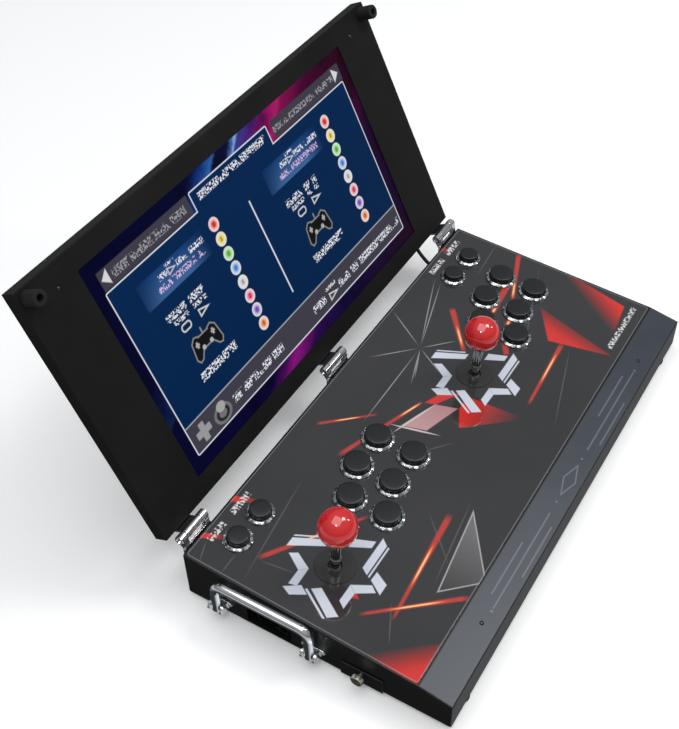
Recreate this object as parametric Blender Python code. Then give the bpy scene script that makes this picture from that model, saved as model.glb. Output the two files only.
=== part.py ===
"""Folding two-player bartop arcade console, modelled in metres with +Z up.

A wedge-shaped sheet steel control box stands on four rubber feet. Its sloping top carries an
acrylic overlay, two ball-top sticks and sixteen push buttons. A flat display lid stands open on
three butt hinges at the rear edge. The left side wall carries a folding bail handle.

+X is the player's right and +Y points away from the player. The origin is on the surface that
the feet stand on, below the middle of the whole console as it stands open.
"""

import math

import bmesh
import bpy
from mathutils import Matrix, Vector

# ---------------------------------------------------------------- driving dimensions
GAP = 0.0003
SHEET = 0.0015
RIM = 0.0015

BASE_WIDTH = 0.527
BASE_DEPTH = 0.2655
REAR_HEIGHT = 0.0547
BREAK_Y = 0.0314
BREAK_HEIGHT = 0.0379
FRONT_HEIGHT = 0.0315

FOOT_RADIUS = 0.006
FOOT_HEIGHT = 0.0045
FOOT_X = 0.231
FOOT_INSET = 0.0055

OVERLAY = 0.0015
STICK_HOLE_RADIUS = 0.011

LID_EDGE_Y = 0.2807
LID_EDGE_Z = 0.06415
LID_LENGTH = 0.262
LID_THICKNESS = 0.0145
LID_SHEET = 0.0012
LID_LEAN = math.radians(24.94)

SCREEN_WIDTH = 0.404
SCREEN_BOTTOM = 0.0195
SCREEN_TOP = 0.242
DISPLAY_MARGIN = 0.008
DISPLAY_DEPTH = 0.0095

HINGE_Y = 0.2716
HINGE_Z = 0.0639
HINGE_X = (-0.2395, 0.0, 0.2395)
KNUCKLE_RADIUS = 0.0047
KNUCKLE_SIDE = 0.0085
HINGE_WIDTH = 0.038
HINGE_PIN_RADIUS = 0.0019
LEAF_SHEET = 0.002
BASE_LEAF_SHEET = 0.0025

BUTTON_TRAVEL = 0.0035
BUTTON_SIDES = 20

STICK_V = 0.1166
PIVOT_DEPTH = 0.012
BALL_RADIUS = 0.0178
BALL_HEIGHT = 0.058
SLEEVE_RADIUS = 0.0046
ROD_RADIUS = 0.0032

HANDLE_FRONT_Y = 0.132
HANDLE_REAR_Y = 0.228
HANDLE_PIVOT_Z = 0.013
HANDLE_RISE = 0.033
HANDLE_STANDOFF = 0.007
HANDLE_RADIUS = 0.0047
HANDLE_BEND = 0.010
EAR_RADIUS = 0.0047

PORT_FRONT_Y = 0.1555
PORT_REAR_Y = 0.201
PORT_BOTTOM = 0.0025
PORT_TOP = 0.022

CABLE_RADIUS = 0.0020
CABLE_HOLE_RADIUS = 0.004

PLAYER_SHIFT = 0.2715
STICK_X = -0.2014
BUTTON_COLUMNS = ((-0.1313, 0.1041), (-0.0960, 0.1178), (-0.0568, 0.1178))
BUTTON_ROW = 0.0389
SMALL_BUTTONS = {
    "p1_coin": (-0.2242, 0.2030),
    "p1_start": (-0.1898, 0.2025),
    "p2_start": (0.1866, 0.2012),
    "p2_coin": (0.2230, 0.2012),
}

# ---------------------------------------------------------------- worked out from them
PANEL_SLOPE = math.atan2(REAR_HEIGHT - BREAK_HEIGHT, BASE_DEPTH - BREAK_Y)
PANEL_LENGTH = math.hypot(REAR_HEIGHT - BREAK_HEIGHT, BASE_DEPTH - BREAK_Y)
DECK_TOP = -OVERLAY - GAP
DECK_BOTTOM = DECK_TOP - SHEET
LID_REACH = LID_EDGE_Y + LID_LENGTH * math.sin(LID_LEAN) + LID_THICKNESS * math.cos(LID_LEAN)
BASE_FRONT = FOOT_INSET - FOOT_RADIUS
CENTRE_Y = (BASE_FRONT + LID_REACH) / 2
CENTRE_X = -(HANDLE_STANDOFF + EAR_RADIUS) / 2


def clear_scene():
    for old in list(bpy.data.objects):
        bpy.data.objects.remove(old, do_unlink=True)


def make_material(name, colour, roughness, metallic=0.0):
    material = bpy.data.materials.new(name)
    material.use_nodes = True
    shader = material.node_tree.nodes["Principled BSDF"]
    shader.inputs["Base Color"].default_value = (*colour, 1.0)
    shader.inputs["Roughness"].default_value = roughness
    shader.inputs["Metallic"].default_value = metallic
    return material


def make_frame(name, location=(0, 0, 0), tilt=0.0, parent=None):
    frame = bpy.data.objects.new(name, None)
    bpy.context.scene.collection.objects.link(frame)
    frame.location = location
    frame.rotation_euler = (tilt, 0, 0)
    frame.parent = parent
    return frame


def add_object(name, bm, material, parent, location=(0, 0, 0), smooth_angle=30):
    bmesh.ops.recalc_face_normals(bm, faces=bm.faces)
    mesh = bpy.data.meshes.new(name)
    bm.to_mesh(mesh)
    bm.free()
    mesh.shade_smooth()
    mesh.set_sharp_from_angle(angle=math.radians(smooth_angle))
    if material:
        mesh.materials.append(material)
    obj = bpy.data.objects.new(name, mesh)
    bpy.context.scene.collection.objects.link(obj)
    obj.parent = parent
    obj.location = location
    return obj


def boolean(obj, cutter, operation="DIFFERENCE"):
    cutter.hide_render = True
    cutter.display_type = "WIRE"
    modifier = obj.modifiers.new(cutter.name, "BOOLEAN")
    modifier.operation = operation
    modifier.solver = "EXACT"
    modifier.object = cutter


def bevel(obj, width, segments=1):
    modifier = obj.modifiers.new("Bevel", "BEVEL")
    modifier.width = width
    modifier.segments = segments
    modifier.limit_method = "ANGLE"
    modifier.angle_limit = math.radians(40)


# ---------------------------------------------------------------- shapes
def box(low, high):
    """A block between two corners."""
    bm = bmesh.new()
    bmesh.ops.create_cube(bm, size=1.0)
    low, high = Vector(low), Vector(high)
    bmesh.ops.scale(bm, vec=high - low, verts=bm.verts)
    bmesh.ops.translate(bm, vec=(low + high) / 2, verts=bm.verts)
    return bm


def boxes(*corner_pairs):
    """Blocks in one mesh, for a cutter or to be joined by a union."""
    bm = bmesh.new()
    for low, high in corner_pairs:
        low, high = Vector(low), Vector(high)
        made = bmesh.ops.create_cube(bm, size=1.0)["verts"]
        bmesh.ops.scale(bm, vec=high - low, verts=made)
        bmesh.ops.translate(bm, vec=(low + high) / 2, verts=made)
    return bm


def prism(outline, x_low, x_high):
    """An outline of (y, z) points pushed along X."""
    bm = bmesh.new()
    base = bm.faces.new([bm.verts.new((x_low, y, z)) for y, z in outline])
    pushed = bmesh.ops.extrude_face_region(bm, geom=[base])["geom"]
    moved = [item for item in pushed if isinstance(item, bmesh.types.BMVert)]
    bmesh.ops.translate(bm, vec=(x_high - x_low, 0, 0), verts=moved)
    return bm


def rod(radius, start, end, sides=16, bm=None):
    """A cylinder between two points."""
    bm = bm or bmesh.new()
    start, end = Vector(start), Vector(end)
    turn = (end - start).to_track_quat("Z", "Y").to_matrix().to_4x4()
    bmesh.ops.create_cone(
        bm,
        cap_ends=True,
        segments=sides,
        radius1=radius,
        radius2=radius,
        depth=(end - start).length,
        matrix=Matrix.Translation((start + end) / 2) @ turn,
    )
    return bm


def turned(profile, sides, closed=False):
    """A profile of (radius, height) points turned about Z; a closed one makes a ring."""
    bm = bmesh.new()
    verts = [bm.verts.new((radius, 0, height)) for radius, height in profile]
    edges = [bm.edges.new(pair) for pair in zip(verts, verts[1:])]
    if closed:
        edges.append(bm.edges.new((verts[-1], verts[0])))
    bmesh.ops.spin(
        bm,
        geom=verts + edges,
        cent=(0, 0, 0),
        axis=(0, 0, 1),
        angle=math.tau,
        steps=sides,
        use_merge=True,
    )
    bmesh.ops.remove_doubles(bm, verts=bm.verts, dist=1e-6)
    return bm


def ball(radius, centre, sides, bm=None):
    bm = bm or bmesh.new()
    bmesh.ops.create_uvsphere(
        bm,
        u_segments=sides,
        v_segments=sides * 3 // 5,
        radius=radius,
        matrix=Matrix.Translation(centre),
    )
    return bm


def swept_tube(path, radius, sides):
    """A round tube with flat ends along a list of points."""
    bm = bmesh.new()
    path = [Vector(point) for point in path]
    side = (path[1] - path[0]).orthogonal().normalized()
    rings = []
    for index, point in enumerate(path):
        before = path[max(index - 1, 0)]
        after = path[min(index + 1, len(path) - 1)]
        along = (after - before).normalized()
        side = (side - along * side.dot(along)).normalized()
        up = along.cross(side)
        ring = []
        for step in range(sides):
            angle = math.tau * step / sides
            ring.append(bm.verts.new(point + radius * (math.cos(angle) * side + math.sin(angle) * up)))
        rings.append(ring)
    for ring, following in zip(rings, rings[1:]):
        for step in range(sides):
            other = (step + 1) % sides
            bm.faces.new((ring[step], ring[other], following[other], following[step]))
    bm.faces.new(rings[0])
    bm.faces.new(rings[-1])
    return bm


def arc(centre, radius, start, end, steps):
    """Points (a, b) on an arc; the angles are in degrees."""
    points = []
    for step in range(steps + 1):
        angle = math.radians(start + (end - start) * step / steps)
        points.append((centre[0] + radius * math.cos(angle), centre[1] + radius * math.sin(angle)))
    return points


def panel_to_base(v, h):
    """(y, z) in the base frame of a point v up the panel and h above its surface."""
    y = BREAK_Y + v * math.cos(PANEL_SLOPE) - h * math.sin(PANEL_SLOPE)
    z = BREAK_HEIGHT + v * math.sin(PANEL_SLOPE) + h * math.cos(PANEL_SLOPE)
    return y, z


def button_places():
    """Name, x, v and kind of each button."""
    places = []
    for player in (0, 1):
        number = 0
        for x, v in BUTTON_COLUMNS:
            for row in (0, 1):
                number += 1
                name = f"p{player + 1}_button_{number}"
                places.append((name, x + player * PLAYER_SHIFT, v + row * BUTTON_ROW, "large"))
    for name, (x, v) in SMALL_BUTTONS.items():
        places.append((name, x, v, "small"))
    return places


# Radii of each kind: flange, thread, bore and cap.
BUTTON_SIZES = {
    "large": (0.0170, 0.0145, 0.0132, 0.0129),
    "small": (0.0142, 0.0116, 0.0105, 0.0102),
}
BUTTON_CUT = 0.0004


# ---------------------------------------------------------------- control box
def base_outline():
    return [
        (0, 0),
        (BASE_DEPTH, 0),
        (BASE_DEPTH, REAR_HEIGHT),
        (BREAK_Y, BREAK_HEIGHT),
        (0, FRONT_HEIGHT),
    ]


def cavity_outline():
    """The inside of the control box, open at the bottom."""
    strip_slope = (BREAK_HEIGHT - FRONT_HEIGHT) / BREAK_Y
    deck_slope = math.tan(PANEL_SLOPE)
    deck_drop = DECK_BOTTOM / math.cos(PANEL_SLOPE)
    strip_drop = -SHEET * math.hypot(1, strip_slope)
    below = -0.005
    meet_y = (FRONT_HEIGHT + strip_drop - BREAK_HEIGHT - deck_drop + deck_slope * BREAK_Y) / (
        deck_slope - strip_slope
    )
    meet_z = FRONT_HEIGHT + strip_drop + strip_slope * meet_y
    rear_y = BASE_DEPTH - SHEET
    return [
        (SHEET, below),
        (rear_y, below),
        (rear_y, BREAK_HEIGHT + deck_drop + deck_slope * (rear_y - BREAK_Y)),
        (meet_y, meet_z),
        (SHEET, FRONT_HEIGHT + strip_drop + strip_slope * SHEET),
    ]


def panel_holes(name, panel, clearance):
    """One cutter with every hole that the deck and the overlay share."""
    bm = bmesh.new()
    for _, x, v, kind in button_places():
        radius = BUTTON_SIZES[kind][1] + BUTTON_CUT + clearance
        rod(radius, (x, v, -0.006), (x, v, 0.004), BUTTON_SIDES, bm)
    for player in (0, 1):
        x = STICK_X + player * PLAYER_SHIFT
        rod(STICK_HOLE_RADIUS, (x, STICK_V, -0.006), (x, STICK_V, 0.004), BUTTON_SIDES, bm)
    return add_object(name, bm, None, panel)


def handle_lugs(base):
    """The pairs of ears that hold the bail, as blocks that run into the left wall."""
    bm = bmesh.new()
    ear_inner = HANDLE_RADIUS + 0.0005
    ear_outer = HANDLE_RADIUS + 0.0027
    root = BASE_WIDTH / 2 - SHEET / 2
    tip = BASE_WIDTH / 2 + HANDLE_STANDOFF
    low = HANDLE_PIVOT_Z - EAR_RADIUS
    nose = arc((tip, HANDLE_PIVOT_Z), EAR_RADIUS, -90, 90, 8)
    outline = [(root, low)] + nose + [(root, HANDLE_PIVOT_Z + EAR_RADIUS)]
    for leg_y in (HANDLE_FRONT_Y, HANDLE_REAR_Y):
        for sign in (-1, 1):
            near = leg_y + sign * ear_inner
            far = leg_y + sign * ear_outer
            face = bm.faces.new([bm.verts.new((-x, near, z)) for x, z in outline])
            pushed = bmesh.ops.extrude_face_region(bm, geom=[face])["geom"]
            moved = [item for item in pushed if isinstance(item, bmesh.types.BMVert)]
            bmesh.ops.translate(bm, vec=(0, far - near, 0), verts=moved)
    return add_object("lugs", bm, None, base)


def make_base(base, panel, materials):
    half = BASE_WIDTH / 2
    shell = add_object("base_shell", prism(base_outline(), -half, half), materials["black_paint"], base)
    boolean(shell, handle_lugs(base), "UNION")
    cavity = prism(cavity_outline(), -half + SHEET, half - SHEET)
    boolean(shell, add_object("cavity", cavity, None, base))
    pocket_low = (-half + RIM, RIM, DECK_TOP)
    pocket_high = (half - RIM, PANEL_LENGTH - RIM, 0.004)
    boolean(shell, add_object("overlay_pocket", box(pocket_low, pocket_high), None, panel))
    boolean(shell, panel_holes("deck_holes", panel, 0.0))
    side_cuts = bmesh.new()
    x = -half - HANDLE_STANDOFF
    for leg_y in (HANDLE_FRONT_Y, HANDLE_REAR_Y):
        start = (x, leg_y - 0.008, HANDLE_PIVOT_Z)
        rod(0.0019, start, (x, leg_y + 0.008, HANDLE_PIVOT_Z), 12, side_cuts)
    boolean(shell, add_object("pin_bores", side_cuts, None, base))
    port_low = (-half - 0.002, PORT_FRONT_Y, PORT_BOTTOM)
    port_high = (-half + 0.004, PORT_REAR_Y, PORT_TOP)
    boolean(shell, add_object("port_cut", box(port_low, port_high), None, base))
    outlets = rod(CABLE_HOLE_RADIUS, (CABLE_X, BASE_DEPTH - 0.006, CABLE_Z), (CABLE_X, BASE_DEPTH + 0.004, CABLE_Z))
    rod(0.0024, (-half - 0.004, SCREW_Y, SCREW_Z), (-half + 0.004, SCREW_Y, SCREW_Z), 12, outlets)
    boolean(shell, add_object("outlets", outlets, None, base))

    overlay_low = (-half + RIM + GAP, RIM + GAP, -OVERLAY)
    overlay_high = (half - RIM - GAP, PANEL_LENGTH - RIM - GAP, 0)
    overlay = add_object("control_overlay", box(overlay_low, overlay_high), materials["overlay"], panel)
    boolean(overlay, panel_holes("overlay_holes", panel, 0.0002))

    plate_low = (-half + SHEET + GAP, SHEET + GAP, 0)
    plate_high = (half - SHEET - GAP, BASE_DEPTH - SHEET - GAP, SHEET)
    plate = add_object("bottom_plate", box(plate_low, plate_high), materials["black_paint"], base)
    for number, (x, y) in enumerate(foot_places()):
        foot = rod(FOOT_RADIUS, (x, y, -FOOT_HEIGHT), (x, y, -GAP), 16)
        boolean(plate, add_object(f"foot_{number}", foot, None, base), "UNION")
        stud = rod(0.003, (x, y, -FOOT_HEIGHT / 2), (x, y, SHEET / 2), 12)
        boolean(plate, add_object(f"foot_stud_{number}", stud, None, base), "UNION")


def foot_places():
    return [(x, y) for x in (-FOOT_X, FOOT_X) for y in (FOOT_INSET, BASE_DEPTH - FOOT_INSET)]


# ---------------------------------------------------------------- buttons
def make_button(name, x, v, kind, panel, materials):
    flange, thread, bore, cap = BUTTON_SIZES[kind]
    ring_profile = [
        (bore, -0.015),
        (thread, -0.015),
        (thread, GAP),
        (flange, GAP),
        (flange, 0.0020),
        (flange - 0.0012, 0.0034),
        (bore + 0.0008, 0.0034),
        (bore, 0.0028),
    ]
    ring = turned(ring_profile, BUTTON_SIDES, closed=True)
    add_object(f"{name}_ring", ring, materials["ring_chrome"], panel, (x, v, 0))
    cap_profile = [
        (0, 0.0088),
        (cap * 0.72, 0.0086),
        (cap - 0.0008, 0.0080),
        (cap, 0.0072),
        (cap, -0.0080),
        (0, -0.0080),
    ]
    add_object(f"{name}_cap", turned(cap_profile, BUTTON_SIDES), materials["cap_black"], panel, (x, v, 0))


# ---------------------------------------------------------------- sticks
def make_stick(player, x, panel, materials):
    """The origin of the gimbal, shaft and ball is the pivot, PIVOT_DEPTH below the panel."""
    name = f"p{player}"
    pivot = (x, STICK_V, -PIVOT_DEPTH)
    top = PIVOT_DEPTH + DECK_BOTTOM - GAP
    half = 0.028
    housing = box((-half, -half, top - 0.016), (half, half, top))
    housing = add_object(f"{name}_stick_base", housing, materials["housing_plastic"], panel, pivot)
    well = 0.0135
    well_cut = box((-well, -well, top - 0.018), (well, well, top + 0.002))
    boolean(housing, add_object(f"{name}_well", well_cut, None, panel, pivot))
    trunnion_cut = rod(0.0020, (-0.0165, 0, 0), (0.0165, 0, 0), 12)
    boolean(housing, add_object(f"{name}_trunnion_cut", trunnion_cut, None, panel, pivot))

    ring_profile = [(0.0078, -0.003), (0.0108, -0.003), (0.0108, 0.003), (0.0078, 0.003)]
    gimbal = turned(ring_profile, 24, closed=True)
    gimbal = add_object(f"{name}_gimbal", gimbal, materials["steel"], panel, pivot)
    for sign in (-1, 1):
        stub = rod(0.0016, (sign * 0.0095, 0, 0), (sign * 0.0155, 0, 0), 12)
        boolean(gimbal, add_object(f"{name}_stub_{sign}", stub, None, panel, pivot), "UNION")
    cross_cut = rod(0.0018, (0, -0.012, 0), (0, 0.012, 0), 12)
    boolean(gimbal, add_object(f"{name}_cross_cut", cross_cut, None, panel, pivot))

    seat = BALL_HEIGHT + PIVOT_DEPTH - BALL_RADIUS
    shaft_profile = [
        (0, -0.020),
        (0.0070, -0.020),
        (0.0070, -0.014),
        (ROD_RADIUS, -0.014),
        (ROD_RADIUS, -0.0045),
        (0.0052, -0.0025),
        (0.0052, 0.0025),
        (ROD_RADIUS, 0.0045),
        (ROD_RADIUS, PIVOT_DEPTH + 0.012),
        (SLEEVE_RADIUS + 0.0009, PIVOT_DEPTH + 0.0125),
        (SLEEVE_RADIUS + 0.0009, PIVOT_DEPTH + 0.0145),
        (SLEEVE_RADIUS, PIVOT_DEPTH + 0.0150),
        (SLEEVE_RADIUS, seat + 0.0080),
        (0, seat + 0.0080),
    ]
    shaft = turned(shaft_profile[::-1], 18)
    shaft = add_object(f"{name}_stick_shaft", shaft, materials["dark_chrome"], panel, pivot)
    pin = rod(0.0014, (0, -0.0104, 0), (0, 0.0104, 0), 12)
    boolean(shaft, add_object(f"{name}_cross_pin", pin, None, panel, pivot), "UNION")

    knob = ball(BALL_RADIUS, (0, 0, PIVOT_DEPTH + BALL_HEIGHT), 24)
    knob = add_object(f"{name}_stick_ball", knob, materials["ball_red"], panel, pivot)
    socket = rod(SLEEVE_RADIUS + GAP, (0, 0, seat - 0.002), (0, 0, seat + 0.0085), 18)
    boolean(knob, add_object(f"{name}_socket", socket, None, panel, pivot))


# ---------------------------------------------------------------- handles and side fittings
def make_handle(base, materials):
    """The bail's origin is on its pivot axis, which runs along Y."""
    x = -BASE_WIDTH / 2 - HANDLE_STANDOFF
    span = HANDLE_REAR_Y - HANDLE_FRONT_Y
    corner = HANDLE_RISE - HANDLE_BEND
    front = arc((HANDLE_BEND, corner), HANDLE_BEND, 180, 90, 5)
    rear = arc((span - HANDLE_BEND, corner), HANDLE_BEND, 90, 0, 5)
    outline = [(0, 0)] + front + rear + [(span, 0)]
    bm = swept_tube([(0, y, z) for y, z in outline], HANDLE_RADIUS, 12)
    origin = (x, HANDLE_FRONT_Y, HANDLE_PIVOT_Z)
    bail = add_object("handle_bail", bm, materials["chrome"], base, origin)
    reach = HANDLE_RADIUS + 0.0024
    for number, y in enumerate((0, span)):
        end = ball(HANDLE_RADIUS * 0.99, (0, y, 0), 12)
        boolean(bail, add_object(f"handle_end_{number}", end, None, base, origin), "UNION")
        pin = rod(0.0015, (0, y - reach, 0), (0, y + reach, 0), 10)
        boolean(bail, add_object(f"handle_pin_{number}", pin, None, base, origin), "UNION")


SCREW_Y = 0.0845
SCREW_Z = 0.0140
COVER_LOW = (0.0635, 0.0008)
COVER_HIGH = (0.1045, 0.0186)


def make_side_fittings(base, materials):
    wall = -BASE_WIDTH / 2
    low = (wall - GAP - SHEET, COVER_LOW[0], COVER_LOW[1])
    high = (wall - GAP, COVER_HIGH[0], COVER_HIGH[1])
    cover = add_object("access_cover", box(low, high), materials["black_paint"], base)
    hole = rod(0.0024, (wall - 0.004, SCREW_Y, SCREW_Z), (wall + 0.001, SCREW_Y, SCREW_Z), 12)
    boolean(cover, add_object("cover_hole", hole, None, base))
    head_profile = [
        (0, -0.0035),
        (0.0019, -0.0035),
        (0.0019, 0.0052),
        (0.0054, 0.0052),
        (0.0058, 0.0058),
        (0.0058, 0.0098),
        (0.0052, 0.0104),
        (0, 0.0104),
    ]
    screw = turned(head_profile[::-1], 20)
    screw = add_object("thumbscrew", screw, materials["steel"], base, (wall, SCREW_Y, SCREW_Z))
    screw.rotation_euler = (0, -math.pi / 2, 0)


def make_main_board(base, materials):
    """A circuit board on the bottom plate, with its row of sockets behind the port opening."""
    wall = -BASE_WIDTH / 2 + SHEET
    board = box((wall + 0.003, 0.126, 0.0050), (wall + 0.098, 0.214, 0.0066))
    board = add_object("main_board", board, materials["board_green"], base)
    sockets = [
        ("power_socket", 0.159, 0.010, 0.0050, 0.0180, 0.014),
        ("picture_socket", 0.173, 0.015, 0.0062, 0.0130, 0.012),
        ("usb_socket", 0.190, 0.0075, 0.0055, 0.0205, 0.016),
    ]
    for name, y, width, z_low, z_high, depth in sockets:
        low = (wall + 0.001, y, z_low)
        high = (wall + 0.001 + depth, y + width, z_high)
        boolean(board, add_object(name, box(low, high), None, base), "UNION")


# ---------------------------------------------------------------- hinges
def make_hinge(name, x, base, lid, materials):
    half = HINGE_WIDTH / 2
    inner = half - KNUCKLE_SIDE
    plate_y = BASE_DEPTH + GAP
    plate_back = plate_y + BASE_LEAF_SHEET
    leaf = box((x - half, plate_y, 0.026), (x + half, plate_back, 0.057))
    leaf = add_object(f"{name}_base_leaf", leaf, materials["chrome"], base)
    web = [
        (plate_y, 0.052),
        (plate_back, 0.052),
        (HINGE_Y + KNUCKLE_RADIUS * 0.55, HINGE_Z - KNUCKLE_RADIUS * 0.75),
        (HINGE_Y, HINGE_Z),
        (HINGE_Y - KNUCKLE_RADIUS * 0.80, HINGE_Z + KNUCKLE_RADIUS * 0.45),
        (plate_y, HINGE_Z - 0.0025),
    ]
    for sign in (-1, 1):
        near = x + sign * inner
        far = x + sign * half
        low, high = min(near, far), max(near, far)
        arm = add_object(f"{name}_web_{sign}", prism(web, low, high), None, base)
        boolean(leaf, arm, "UNION")
        knuckle = rod(KNUCKLE_RADIUS, (low, HINGE_Y, HINGE_Z), (high, HINGE_Y, HINGE_Z), 20)
        boolean(leaf, add_object(f"{name}_knuckle_{sign}", knuckle, None, base), "UNION")
    pin = rod(HINGE_PIN_RADIUS, (x - half + 0.001, HINGE_Y, HINGE_Z), (x + half - 0.001, HINGE_Y, HINGE_Z), 12)
    boolean(leaf, add_object(f"{name}_pin", pin, None, base), "UNION")

    axis_y, axis_z = hinge_in_lid()
    reach = inner - GAP
    lid_low = (x - reach, -GAP - LEAF_SHEET, -0.012)
    lid_high = (x + reach, -GAP, axis_z)
    lid_leaf = add_object(f"{name}_lid_leaf", box(lid_low, lid_high), materials["chrome"], lid)
    barrel = rod(KNUCKLE_RADIUS, (x - reach, axis_y, axis_z), (x + reach, axis_y, axis_z), 20)
    boolean(lid_leaf, add_object(f"{name}_barrel", barrel, None, lid), "UNION")
    bore = rod(HINGE_PIN_RADIUS + GAP, (x - half, axis_y, axis_z), (x + half, axis_y, axis_z), 12)
    boolean(lid_leaf, add_object(f"{name}_bore", bore, None, lid))


def hinge_in_lid():
    """The hinge axis in the lid's own frame: (up the lid, out of its front face)."""
    dy = HINGE_Y - LID_EDGE_Y
    dz = HINGE_Z - LID_EDGE_Z
    along = dy * math.sin(LID_LEAN) + dz * math.cos(LID_LEAN)
    outward = -dy * math.cos(LID_LEAN) + dz * math.sin(LID_LEAN)
    return along, outward


# ---------------------------------------------------------------- display lid
BUMPER_X = 0.254
BUMPER_V = 0.252
BUMPER_RADIUS = 0.007
BUMPER_LENGTH = 0.017
VENT_COUNT = 9
VENT_PITCH = 0.009


def make_lid(lid, materials):
    """The lid's frame has its origin at the middle of the lower front edge, Y up the lid."""
    half = BASE_WIDTH / 2
    back = -LID_THICKNESS + LID_SHEET + GAP
    frame = add_object("lid_frame", box((-half, 0, back), (half, LID_LENGTH, 0)), materials["black_paint"], lid)
    tray_low = (-half + LID_SHEET, LID_SHEET, back - 0.002)
    tray_high = (half - LID_SHEET, LID_LENGTH - LID_SHEET, -LID_SHEET)
    boolean(frame, add_object("lid_tray", box(tray_low, tray_high), None, lid))
    side = SCREEN_WIDTH / 2
    window = box((-side, SCREEN_BOTTOM, -0.004), (side, SCREEN_TOP, 0.002))
    boolean(frame, add_object("window", window, None, lid))
    outlet = rod(CABLE_HOLE_RADIUS, (CABLE_X, -0.004, CABLE_IN_LID), (CABLE_X, 0.006, CABLE_IN_LID))
    boolean(frame, add_object("lid_outlet", outlet, None, lid))

    cover_low = (-half, 0, -LID_THICKNESS)
    cover_high = (half, LID_LENGTH, -LID_THICKNESS + LID_SHEET)
    cover = add_object("lid_back", box(cover_low, cover_high), materials["black_paint"], lid)
    slots = []
    for side_x in (-0.150, 0.150):
        for index in range(VENT_COUNT):
            x = side_x + (index - (VENT_COUNT - 1) / 2) * VENT_PITCH
            slots.append(((x - 0.0015, 0.175, -0.020), (x + 0.0015, 0.215, -0.010)))
    boolean(cover, add_object("vents", boxes(*slots), None, lid))

    panel_low = (-side - DISPLAY_MARGIN, SCREEN_BOTTOM - DISPLAY_MARGIN, -LID_SHEET - GAP - DISPLAY_DEPTH)
    panel_high = (side + DISPLAY_MARGIN, SCREEN_TOP + DISPLAY_MARGIN, -LID_SHEET - GAP)
    add_object("display_panel", box(panel_low, panel_high), materials["screen"], lid)

    for name, x in (("bumper_left", -BUMPER_X), ("bumper_right", BUMPER_X)):
        profile = [
            (0, GAP),
            (BUMPER_RADIUS, GAP),
            (BUMPER_RADIUS, BUMPER_LENGTH - 0.0008),
            (BUMPER_RADIUS - 0.0008, BUMPER_LENGTH),
            (0.0032, BUMPER_LENGTH),
            (0.0032, BUMPER_LENGTH - 0.007),
            (0, BUMPER_LENGTH - 0.007),
        ]
        add_object(name, turned(profile[::-1], 20), materials["rubber"], lid, (x, BUMPER_V, 0))


# ---------------------------------------------------------------- screen cable
CABLE_X = 0.203
CABLE_Z = 0.042
CABLE_IN_LID = -0.007


def lid_to_base(along, outward):
    """(y, z) in the base frame of a point of the lid's frame."""
    y = LID_EDGE_Y + along * math.sin(LID_LEAN) - outward * math.cos(LID_LEAN)
    z = LID_EDGE_Z + along * math.cos(LID_LEAN) + outward * math.sin(LID_LEAN)
    return y, z


def catmull_rom(points, steps):
    """Points of a smooth curve through the given ones."""
    points = [Vector(point) for point in points]
    padded = [2 * points[0] - points[1]] + points + [2 * points[-1] - points[-2]]
    smooth = []
    for index in range(len(points) - 1):
        a, b, c, d = padded[index : index + 4]
        for step in range(steps):
            t = step / steps
            smooth.append(
                0.5 * (2 * b + (c - a) * t + (2 * a - 5 * b + 4 * c - d) * t**2 + (3 * b - a - 3 * c + d) * t**3)
            )
    smooth.append(points[-1])
    return smooth


def make_cable(base, materials):
    """From inside the lid's lower edge, through the gap behind the hinges, into the rear wall."""
    inside_lid = lid_to_base(0.0060, CABLE_IN_LID)
    lid_exit = lid_to_base(-0.0030, CABLE_IN_LID)
    route = [
        (CABLE_X, *inside_lid),
        (CABLE_X, *lid_exit),
        (CABLE_X, lid_exit[0] - 0.0070, lid_exit[1] - 0.0080),
        (CABLE_X, BASE_DEPTH + 0.0055, CABLE_Z + 0.0022),
        (CABLE_X, BASE_DEPTH - 0.0030, CABLE_Z),
        (CABLE_X, BASE_DEPTH - 0.0130, CABLE_Z - 0.0030),
    ]
    curve = bpy.data.curves.new("screen_cable", "CURVE")
    curve.dimensions = "3D"
    curve.bevel_depth = CABLE_RADIUS
    curve.bevel_resolution = 2
    curve.use_fill_caps = True
    points = catmull_rom(route, 2)
    spline = curve.splines.new("POLY")
    spline.points.add(len(points) - 1)
    for target, point in zip(spline.points, points):
        target.co = (*point, 1)
    curve.materials.append(materials["rubber"])
    cable = bpy.data.objects.new("screen_cable", curve)
    bpy.context.scene.collection.objects.link(cable)
    cable.parent = base


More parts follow.
